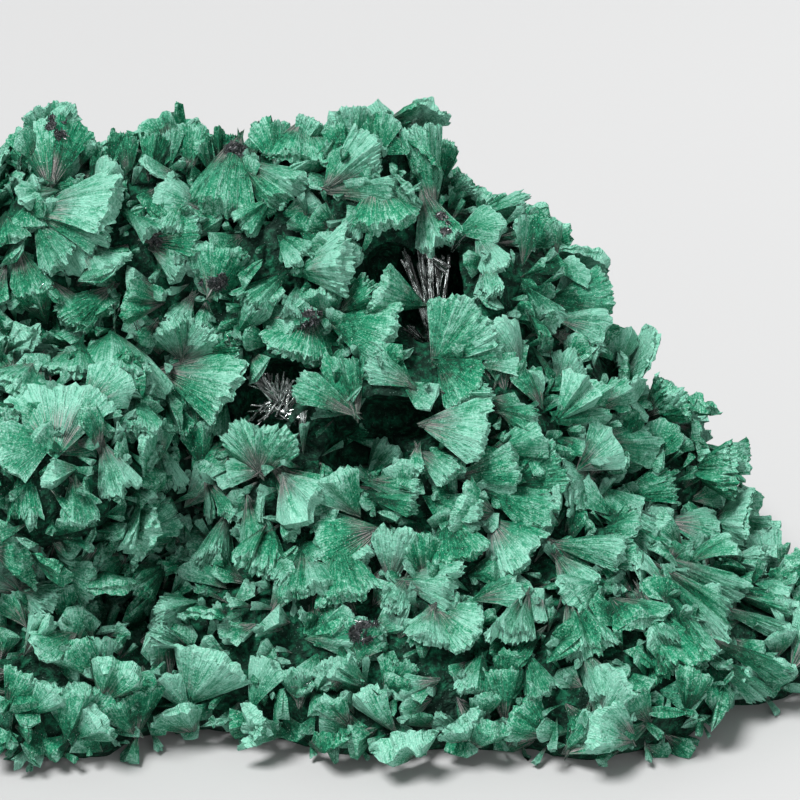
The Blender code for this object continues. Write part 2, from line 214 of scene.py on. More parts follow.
# %% [markdown]
# ## Green malachite
# A sheaf's fibres run from its pointed end to its rim, so its pattern has to follow them. The sheaves carry a UV
# map for that: U goes across the fan and V along the fibres. Noise stretched along V gives fibre streaks, in the
# colour and in the bump. Green differs in two ways from place to place: how pale it is, and how pure. Rims and
# ridges get a painted highlight, pale specks of painted sheen lie where the green is paler, and tiny painted
# glints are strewn over all. Pointed ends get painted shade, darker and purer green, and are a little purple, and
# each sheaf and each of its facets has a tone of its own, because light meets its fibres at another angle.

# %% The sheaves' finish
DEEP_GREEN = (0.002, 0.042, 0.022, 1)
EMERALD = (0.009, 0.225, 0.110, 1)
MID_GREEN = (0.040, 0.265, 0.155, 1)
PALE_GREEN = (0.225, 0.550, 0.420, 1)
PAINTED_SHEEN = (0.430, 0.740, 0.610, 1)
ROSY_GREY = (0.360, 0.330, 0.320, 1)
SMOKE = (0.045, 0.042, 0.050, 1)
PAINTED_GLINT = (0.850, 0.950, 0.920, 1)


def sheaf_malachite():
    """Green along the fibres: painted shade at the pointed end, streaked, grainy, a painted highlight at ridges and
    rim, painted sheen and glints.
    """
    graph = Graph("sheaf_malachite")
    place = graph.place()
    tone = graph.attribute("tone")
    # The painted highlight at facet edges and the rim.
    facet = graph.attribute("facet")
    frost = graph.attribute("frost")
    across, along = graph.split(graph.node("ShaderNodeUVMap"))

    def streaks(count, length, detail=2):
        spread = graph.node("ShaderNodeCombineXYZ", None, {0: across * count, 1: along * length, 2: tone * 90})
        return graph.noise(spread, 1.0, detail)

    hairs = streaks(64, 7.0, 2)
    lines = streaks(46, 2.0)
    broad = streaks(5, 1.3)
    grain = graph.noise(place, 7200, 2, 0.75)
    crumbs = graph.noise(place, 2100, 3, 0.6)
    patches = graph.noise(place, 170, 3)
    purity = graph.noise(place, 330, 2)
    root = 1 - along.ramp(0.22, 0.68)
    # Lightness: random tone, facet tone and noise, with painted shade towards the pointed end and a painted
    # highlight at edges.
    light = (
        0.8 * (tone - 0.5) + 0.26 * facet + 0.75 * (hairs - 0.5) + 1.0 * (lines - 0.5) + 0.8 * (broad - 0.5)
        + 1.2 * (grain - 0.5) + 1.5 * (crumbs - 0.5) + 0.85 * (along - 0.7) + 1.3 * (patches - 0.5)
        + 0.12 * frost + 0.58
    )
    # Towards the pointed end the green turns purer and darker, as painted shade.
    green = graph.mix((purity + 0.4 * (tone - 0.5) - 0.12 * root).ramp(0.42, 0.66), EMERALD, MID_GREEN)
    colour = graph.mix(light.ramp(-0.15, 0.42), DEEP_GREEN, green)
    colour = graph.mix(light.ramp(0.34, 1.25), colour, PALE_GREEN)
    # Pale specks of painted sheen, more of them where the colour is lighter.
    painted_sheen = (grain + 0.16 * frost * crumbs).ramp(0.50, 0.78) * light.ramp(0.1, 0.8) * 0.6
    colour = graph.mix(painted_sheen, colour, PAINTED_SHEEN)
    colour = graph.mix((1 - (hairs + lines).ramp(0.78, 1.04)) * 0.5, colour, green)
    dusky = root * patches.ramp(0.44, 0.56)
    colour = graph.mix(dusky * broad.ramp(0.36, 0.56) * 0.75, colour, SMOKE)
    colour = graph.mix(lines.ramp(0.50, 0.58) * (dusky * 0.85 + 0.05), colour, ROSY_GREY)
    # Tiny white painted glints, which are a little smoother too.
    painted_glints = graph.noise(place, 11000, 1).ramp(0.70, 0.76)
    colour = graph.mix(painted_glints * 0.65, colour, PAINTED_GLINT)
    height = hairs * 0.6 + lines * 0.5 + grain * 0.7 + crumbs * 1.2
    roughness = 0.68 - 0.2 * hairs.ramp(0.5, 0.7) - 0.3 * painted_glints
    return graph.finish(
        Base_Color=colour, Roughness=roughness, Normal=graph.bump(height, 0.20 * MM), Specular_IOR_Level=0.15
    )


def mass_malachite():
    """What shows between the sheaves: crumbly and smoky in places, its dark green darkened further as painted shade
    of the gaps, with painted glints.
    """
    graph = Graph("mass_malachite")
    place = graph.place()
    fine = graph.noise(place, 1600, 4, 0.65)
    patches = graph.noise(place, 210, 3)
    # Dark green of its own, made near black as painted shade for the gaps between the sheaves.
    colour = graph.mix(fine.ramp(0.42, 0.72), (0.001, 0.018, 0.010, 1), (0.008, 0.130, 0.066, 1))
    colour = graph.mix(patches.ramp(0.54, 0.66) * fine.ramp(0.35, 0.6) * 0.3, colour, SMOKE)
    # Tiny pale specks are painted glints.
    colour = graph.mix(graph.noise(place, 11000, 1).ramp(0.70, 0.76) * 0.5, colour, (0.30, 0.45, 0.40, 1))
    return graph.finish(
        Base_Color=colour, Roughness=0.75 - 0.35 * fine.ramp(0.5, 0.8), Normal=graph.bump(fine, 0.7 * MM),
        Specular_IOR_Level=0.2,
    )


FIBRE_GREEN = sheaf_malachite()
MASS_GREEN = mass_malachite()
print("finishes:", FIBRE_GREEN.name, MASS_GREEN.name)

# %% [markdown]
# ## The mass
# Under the sheaves lies a lumpy mass. It could be sculpted, but the solid already says how it is made: stretched
# balls for the lobes, a voxel Remesh for one skin over them, Smooth for soft joins, and a Displace with a cloud
# texture for the lumps. The same steps are run twice. The coarse mass is the solid's own and only carries the
# sheaves, which keeps each of them where the solid has it. The fine mass is what shows between them.

# %% The lobes and the skin over them
LOBES = {
    "peak": ((-2.5, 11, 20), (8.5, 9, 16.2)),
    "peak_left": ((-9, 11, 18), (8, 9, 17)),
    "saddle": ((-18, 11, 18), (10.5, 8.5, 17.5)),
    "knob": ((-26, 10.5, 19.5), (6.5, 8, 16)),
    "upper_slope": ((5, 9.5, 15), (7.5, 9, 15.5)),
    "upper_shoulder": ((9, 11, 15), (5, 7.5, 12.5)),
    "shoulder": ((10.5, 10, 12), (6.5, 8, 11)),
    "back_right": ((17, 11, 5), (7.5, 7, 9)),
    "back_end": ((20, 9, 0.5), (6.5, 7, 6.8)),
    "middle": ((0, 2.5, 12), (15, 9.5, 12)),
    "foot": ((0, -2.5, 3), (25, 13, 9)),
    "left_body": ((-24, 2, 11), (9.5, 10, 11.5)),
    "near_left": ((-24.5, -5.5, 18.5), (7.5, 9.5, 6.5)),
    "low_left": ((-24, -8, 4), (10, 9, 8)),
    "low_right": ((13, -10, 3.5), (10, 7, 6)),
    "right_ridge": ((13, -3, 7), (6, 6, 6)),
    "right_end": ((22, -3, 2), (10, 7, 6)),
}
SKIN_VOXEL = 1.1
LUMP_WIDTH = 7.0
LUMP_HEIGHT = 1.5
CORE_TRIANGLES = 1200


def add_object(name, mesh):
    made = bpy.data.objects.new(name, mesh)
    bpy.context.scene.collection.objects.link(made)
    return made


def mesh_of(name, form):
    """A mesh in metres, faces outwards, from a form in millimetres."""
    bmesh.ops.recalc_face_normals(form, faces=form.faces)
    bmesh.ops.scale(form, vec=(MM, MM, MM), verts=form.verts)
    mesh = bpy.data.meshes.new(name)
    form.to_mesh(mesh)
    form.free()
    return mesh


def shaped_mesh(thing):
    """An object's mesh with its modifiers applied."""
    bpy.context.view_layer.update()
    graph = bpy.context.evaluated_depsgraph_get()
    return bpy.data.meshes.new_from_object(thing.evaluated_get(graph))


def settle(thing):
    """Keeps the outcome of an object's modifiers as its mesh."""
    mesh = shaped_mesh(thing)
    thing.modifiers.clear()
    thing.data = mesh


def ellipsoid(form, place, middle, half, subdivisions):
    place = place @ Matrix.Translation(middle) @ Matrix.Diagonal(half).to_4x4()
    bmesh.ops.create_icosphere(form, subdivisions=subdivisions, radius=1, matrix=place)


def raise_by_clouds(thing, name, width, height, depth=2):
    clouds = bpy.data.textures.new(name, "CLOUDS")
    clouds.noise_scale = width * MM
    clouds.noise_depth = depth
    raised = thing.modifiers.new(name, "DISPLACE")
    raised.texture = clouds
    raised.texture_coords = "OBJECT"
    raised.strength = 2 * height * MM


def lobed_mass(name, sunk=0, finer=0):
    form = bmesh.new()
    for middle, half in LOBES.values():
        ellipsoid(form, Matrix.Identity(4), middle, [size - sunk for size in half], 4)
    mass = add_object(name, mesh_of(name, form))
    skin = mass.modifiers.new("one skin", "REMESH")
    skin.mode = "VOXEL"
    skin.voxel_size = SKIN_VOXEL * MM
    soft = mass.modifiers.new("soft joins", "SMOOTH")
    soft.iterations = 6
    if finer:
        smooth = mass.modifiers.new("finer", "SUBSURF")
        smooth.levels = smooth.render_levels = finer
    raise_by_clouds(mass, "lumps", LUMP_WIDTH, LUMP_HEIGHT)
    return mass


carrier = lobed_mass("carrier")
now = sum(len(face.vertices) - 2 for face in shaped_mesh(carrier).polygons)
fewer = carrier.modifiers.new("fewer faces", "DECIMATE")
fewer.ratio = CORE_TRIANGLES / now
fewer.use_collapse_triangulate = True
core = shaped_mesh(carrier)
bpy.data.objects.remove(carrier)
surface = BVHTree.FromPolygons(
    [vert.co / MM for vert in core.vertices], [tuple(face.vertices) for face in core.polygons]
)
print("the carrying mass has", len(core.polygons), "triangles")

# %% [markdown]
# ## The hollows and the mass that shows
# Four of the hollows are deep, black gaps between the sheaves. They are cut from the fine mass with the same
# stretched balls as in the solid. A second, finer cloud then crumbles the surface, and a plane cuts the underside
# flat and closes it.

# %% The fine mass
HOLLOWS = {
    "upper": ((430, 300), (3.0, 5.0, 4.0), 3.0),
    "left": ((274, 404), (3.2, 3.2, 3.4), 2.6),
    "middle": ((366, 458), (3.4, 2.8, 4.6), 3.0),
    "small_left": ((250, 215), (2.2, 1.5, 2.5), 1.8),
    "lower_left": ((110, 604), (3.4, 2.4, 4.5), 3.2),
    "right_gap": ((780, 636), (3.3, 1.0, 4.0), 2.8),
}
CRUMB_WIDTH = 0.9
CRUMB_HEIGHT = 0.28
MASS_SINK = 0.7
SIDE_ROOMS = {
    "cave_roof": ((389, 421), (3.8, 1.9, 5.0), 2.5),
    "upper_side": ((390, 270), (2.0, 2.1, 3.6), 2.0),
    "left_foot": ((318, 434), (2.0, 1.9, 3.2), 1.8),
}
ROOMS = {**HOLLOWS, **SIDE_ROOMS}


def hollow_frame(name):
    """Axes across, up and inwards from a hollow's middle."""
    pixel, _, depth = ROOMS[name]
    axes = Matrix((ACROSS, UPWARD, INWARD)).transposed().to_4x4()
    return Matrix.Translation(spot_under(pixel, surface) + sight_of(pixel) * depth) @ axes


def cut_flat(mesh):
    """Cuts a closed mesh at the floor and closes it there."""
    form = bmesh.new()
    form.from_mesh(mesh)
    everything = form.verts[:] + form.edges[:] + form.faces[:]
    cut = bmesh.ops.bisect_plane(form, geom=everything, plane_co=(0, 0, 0), plane_no=(0, 0, -1), clear_outer=True)
    rim = [item for item in cut["geom_cut"] if isinstance(item, bmesh.types.BMEdge)]
    bmesh.ops.holes_fill(form, edges=rim, sides=0)
    form.to_mesh(mesh)
    form.free()


mass = lobed_mass("mass", sunk=MASS_SINK, finer=1)
cutters = []
for name, (_, half, _) in ROOMS.items():
    form = bmesh.new()
    ellipsoid(form, hollow_frame(name), (0, 0, 0), half, 4)
    cutters.append(add_object("room", mesh_of("room", form)))
    carve = mass.modifiers.new("room", "BOOLEAN")
    carve.operation = "DIFFERENCE"
    carve.object = cutters[-1]
raise_by_clouds(mass, "crumbs", CRUMB_WIDTH, CRUMB_HEIGHT, depth=3)
settle(mass)
for cutter in cutters:
    bpy.data.objects.remove(cutter)
cut_flat(mass.data)
mass.data.materials.append(MASS_GREEN)
inner_surface = BVHTree.FromPolygons(
    [vert.co / MM for vert in mass.data.vertices], [tuple(face.vertices) for face in mass.data.polygons]
)
print("the mass that shows has", len(mass.data.polygons), "faces")

# %% [markdown]
# Sheaves that are drawn at random have to leave the hollows and their mouths open, so one test answers for every
# place whether it is kept free. The mass carries the answer for each of its points, for the scatter to read.

# %% Places to keep free
CLEAR_OF_ROOM = {"upper": 1.15, "left": 1.1, "middle": 1.0, "cave_roof": 1.15, "upper_side": 1.15}
CLEAR_OF_OTHERS = 0.75
CLEAR_BEFORE = 4.0
ROOM_SIZES = [
    (hollow_frame(name).inverted(), np.array(half) * CLEAR_OF_ROOM.get(name, CLEAR_OF_OTHERS))
    for name, (_, half, _) in ROOMS.items()
]


def in_hollow(point):
    """Whether a point lies in a hollow or before its mouth."""
    for to_room, half in ROOM_SIZES:
        across, up, inward = to_room @ point
        if inward < 0:
            inward /= CLEAR_BEFORE
        if (across / half[0]) ** 2 + (up / half[1]) ** 2 + (inward / half[2]) ** 2 < 1:
            return True
    return False


free = [0.0 if in_hollow(vert.co / MM) else 1.0 for vert in mass.data.vertices]
mass.data.attributes.new("free", "FLOAT", "POINT").data.foreach_set("value", free)
print(round(100 * (1 - sum(free) / len(free)), 1), "% of the mass lies in hollows")

# %% [markdown]
# ## One sheaf
# A sheaf is a bundle of straight fibres that share one end. It could be cut from a cone, but then its ridges would
# not follow the fibres. Here it is a grid: columns run round the bundle and each column is one fibre, rows run
# from the pointed end to the rim. Its look comes from draws of a seeded generator: flat facets that meet in ridges
# along fibres, steps where a wedge of the bundle ends early, scallops and teeth in the rim, and the fine
# unevenness of every fibre. Each facet gets a tone of its own, because its fibres lie at another angle to the
# light, and its edges and its rim are marked for a painted highlight. The last row runs down the middle of the
# rim's thickness, so the bundle is closed.

# %% The grid of a sheaf
RIM_THICKNESS = 1.4
RIM_TAPER = (0.1, 0.45)
FULL_RIM_FROM = 5.5
ROOT_DEPTH = 0.9
LONGEST_SHEAF = 8.0
LOWEST = 0.05
EDGE_HIGHLIGHT_WIDTH = 0.045


def turned(side, along, degrees):
    return Matrix.Rotation(math.radians(degrees), 3, along) @ side


def grid_faces(columns, rows):
    """Triangles round the pointed end, then quads up to the closing row of the rim."""
    ring = np.arange(columns)
    after = (ring + 1) % columns
    tip = np.stack([np.zeros(columns, int), 1 + after, 1 + ring], 1)
    quads = []
    for row in range(rows - 1):
        low, high = 1 + row * columns, 1 + (row + 1) * columns
        quads.append(np.stack([low + ring, low + after, high + after, high + ring], 1))
    low, high = 1 + (rows - 1) * columns, 1 + rows * columns
    fold = np.minimum(ring, columns - ring)
    quads.append(np.stack([low + ring, low + after, high + fold[after], high + fold[ring]], 1))
    return tip, np.concatenate(quads)


def knots(rng, count, low, high, at):
    """Straight stretches between random values at random places, read at the places of the columns."""
    places = np.concatenate([[-1.0], np.sort(rng.uniform(-0.85, 0.85, count)), [1.0]])
    return np.interp(at, places, rng.uniform(low, high, count + 2))


def steps(rng, count, low, high, at):
    """Flat stretches with a sudden change from one to the next."""
    places = np.sort(rng.uniform(-0.9, 0.9, count))
    return rng.uniform(low, high, count + 1)[np.searchsorted(places, at)]


def facets(rng, at):
    """Heights of flat facets between two to four ridges, a tone for each facet, and where its edges are."""
    count = rng.integers(1, 4)
    ridges = np.linspace(-0.8, 0.8, count + 2)[1:-1] + rng.uniform(-0.22, 0.22, count)
    places = np.concatenate([[-1.0], ridges, [1.0]])
    heights = rng.uniform(1.0, 2.8, count)
    heights[1::2] *= rng.uniform(0.25, 0.6)
    height = np.interp(at, places, np.concatenate([[0.0], heights, [0.0]]))
    tone = rng.uniform(-1, 1, count + 1)[np.searchsorted(ridges, at)]
    nearest = np.abs(at[:, None] - places[None, :]).min(1)
    return height, tone, np.exp(-((nearest / EDGE_HIGHLIGHT_WIDTH) ** 2))


def sheaf_grid(rng, sheaf, columns, rows):
    """The points of a sheaf in millimetres, and for each its U and V, its facet's tone and its painted edge
    highlight.
    The rim's own two rows are among the rows."""
    point, along, side, length, half = sheaf
    point, along, side = np.array(point), np.array(along), np.array(side)
    out = np.cross(along, side)
    fold = columns // 2
    at = 1 - 2 * np.arange(fold + 1) / fold
    notches = steps(rng, 3, 0, 0.13, at) + knots(rng, 7, 0, 0.08, at) + rng.uniform(0, 0.03, fold + 1)
    reach = 1 - notches - rng.uniform(0, 0.14) * np.abs(at) ** 3.5
    front, tone, edge = facets(rng, at)
    front += (1 - at**2) * steps(rng, 2, -0.10, 0.14, at)
    back = -(1 - np.abs(at) ** 1.8) * (0.5 + knots(rng, 3, -0.3, 0.4, at))
    around = [np.concatenate([values, values[-2:0:-1]]) for values in (at, reach, tone, edge)]
    across, full_reach, tone, edge = around
    height = np.concatenate([front, back[-2:0:-1]])
    ribs = rng.uniform(-0.08, 0.08, columns)
    bow = rng.uniform(-0.02, 0.07) * length
    cup = rng.uniform(-0.06, 0.12) * length
    reached = length + ROOT_DEPTH
    rim_half = RIM_THICKNESS / 2 * min(1, reached / FULL_RIM_FROM) * rng.uniform(0.8, 1.35)
    taper = rng.uniform(*RIM_TAPER)
    grid = [point - along * ROOT_DEPTH]
    looks = [(0.5, 0.0, 0.0, 0.0)]
    shares = np.append((np.arange(1, rows) / (rows - 1)) ** 0.85, 1.0)
    for row, share in enumerate(shares):
        last = row == rows - 1
        angle = across * half * (0.95 if last else 1)
        thickness = rim_half * share * (1 - taper * share**3) * (0.6 if last else 1)
        rough = share * rim_half * (0.09 + 0.04 * share**6)
        lift = thickness * (height + ribs * share) + rng.normal(0, rough, columns)
        far = reached * share * (1 - (1 - full_reach) * share**3) + rng.normal(0, rough, columns)
        far = far + (0.07 if last else 0)
        spokes = np.outer(np.sin(angle), side) + np.outer(np.cos(angle), along)
        bend = bow * math.sin(math.pi * share) - cup * share * across**2
        grid.extend(point - along * ROOT_DEPTH + spokes * far[:, None] + np.outer(lift + bend, out))
        # Facet edges and the last rows of the rim are marked for a painted highlight, pale in the finish.
        frost = np.maximum(edge, share**14)
        looks.extend(zip(across * 0.5 + 0.5, np.full(columns, share), tone, frost))
    middle = reached * (reach - rng.uniform(0.0, 0.05, fold + 1))
    angle = at * half * 0.9
    spokes = np.outer(np.sin(angle), side) + np.outer(np.cos(angle), along)
    lift = rim_half * (1 - taper) * (front + back) / 2 - cup * at**2
    grid.extend(point - along * ROOT_DEPTH + spokes * middle[:, None] + np.outer(lift, out))
    # The closing row of the rim gets the full painted highlight.
    looks.extend(zip(at * 0.5 + 0.5, np.full(fold + 1, 1.1), tone[: fold + 1], np.ones(fold + 1)))
    return np.array(grid), np.array(looks)


def fit_in_box(points):
    """Keeps points above the floor and inside the solid's box."""
    return np.clip(points, np.maximum(LOW, [-1e3, -1e3, LOWEST]), HIGH)


SHARP_FROM = math.radians(38)


def grids_mesh(name, grids, columns, rows):
    """One mesh of many grids, with a UV map along the fibres and each point's facet tone and painted edge
    highlight.
    """
    tip, quads = grid_faces(columns, rows)
    starts = np.arange(len(grids))[:, None, None] * len(grids[0][0])
    points = np.concatenate([grid for grid, _ in grids]) * MM
    looks = np.concatenate([grid_looks for _, grid_looks in grids])
    all_tips = (tip + starts).reshape(-1, 3)
    all_quads = (quads + starts).reshape(-1, 4)
    corners = np.concatenate([all_tips.ravel(), all_quads.ravel()])
    sizes = np.concatenate([np.full(len(all_tips), 3), np.full(len(all_quads), 4)])
    mesh = bpy.data.meshes.new(name)
    mesh.vertices.add(len(points))
    mesh.vertices.foreach_set("co", points.ravel())
    mesh.loops.add(len(corners))
    mesh.loops.foreach_set("vertex_index", corners)
    mesh.polygons.add(len(sizes))
    mesh.polygons.foreach_set("loop_start", np.concatenate([[0], np.cumsum(sizes)[:-1]]))
    mesh.update(calc_edges=True)
    uv = looks[corners, :2]
    tips = uv[: len(all_tips) * 3].reshape(-1, 3, 2)
    tips[:, 0, 0] = (tips[:, 1, 0] + tips[:, 2, 0]) / 2
    mesh.uv_layers.new(name="UVMap").data.foreach_set("uv", uv.ravel())
    for attribute, column in (("facet", 2), ("frost", 3)):
        made = mesh.attributes.new(attribute, "FLOAT", "POINT")
        made.data.foreach_set("value", looks[:, column].astype(np.float32))
    mesh.shade_smooth()
    mesh.set_sharp_from_angle(angle=SHARP_FROM)
    return mesh


def sheaves_mesh(name, rng, sheaves, columns, rows, tones=None):
    """One mesh of many sheaves held in the box. Each has a tone, drawn at random where none is given."""
    grids = [sheaf_grid(rng, sheaf, columns, rows) for sheaf in sheaves]
    mesh = grids_mesh(name, [(fit_in_box(grid), looks) for grid, looks in grids], columns, rows)
    drawn = rng.uniform(0, 1, len(grids))
    values = [chance if tone is None else tone for tone, chance in zip(tones or [None] * len(grids), drawn)]
    made = mesh.attributes.new("tone", "FLOAT", "POINT")
    made.data.foreach_set("value", np.repeat(values, len(grids[0][0])).astype(np.float32))
    return mesh


tip, quads = grid_faces(64, 13)
print("a sheaf of 64 fibres has", len(tip) + 2 * len(quads), "triangles")

# %% [markdown]
# ## Where the large sheaves stand
# The sheaves that can be told apart are listed one row each. A row holds two places in the front view:
# where the fibres meet and the middle of the rim. From those come the direction and the length. The spread is what
# shows of it, the turn rolls the bundle about its length, and the next number lifts the rim off the mass. Where a
# sheaf is clearly paler or darker than its neighbours, its tone ends the row.

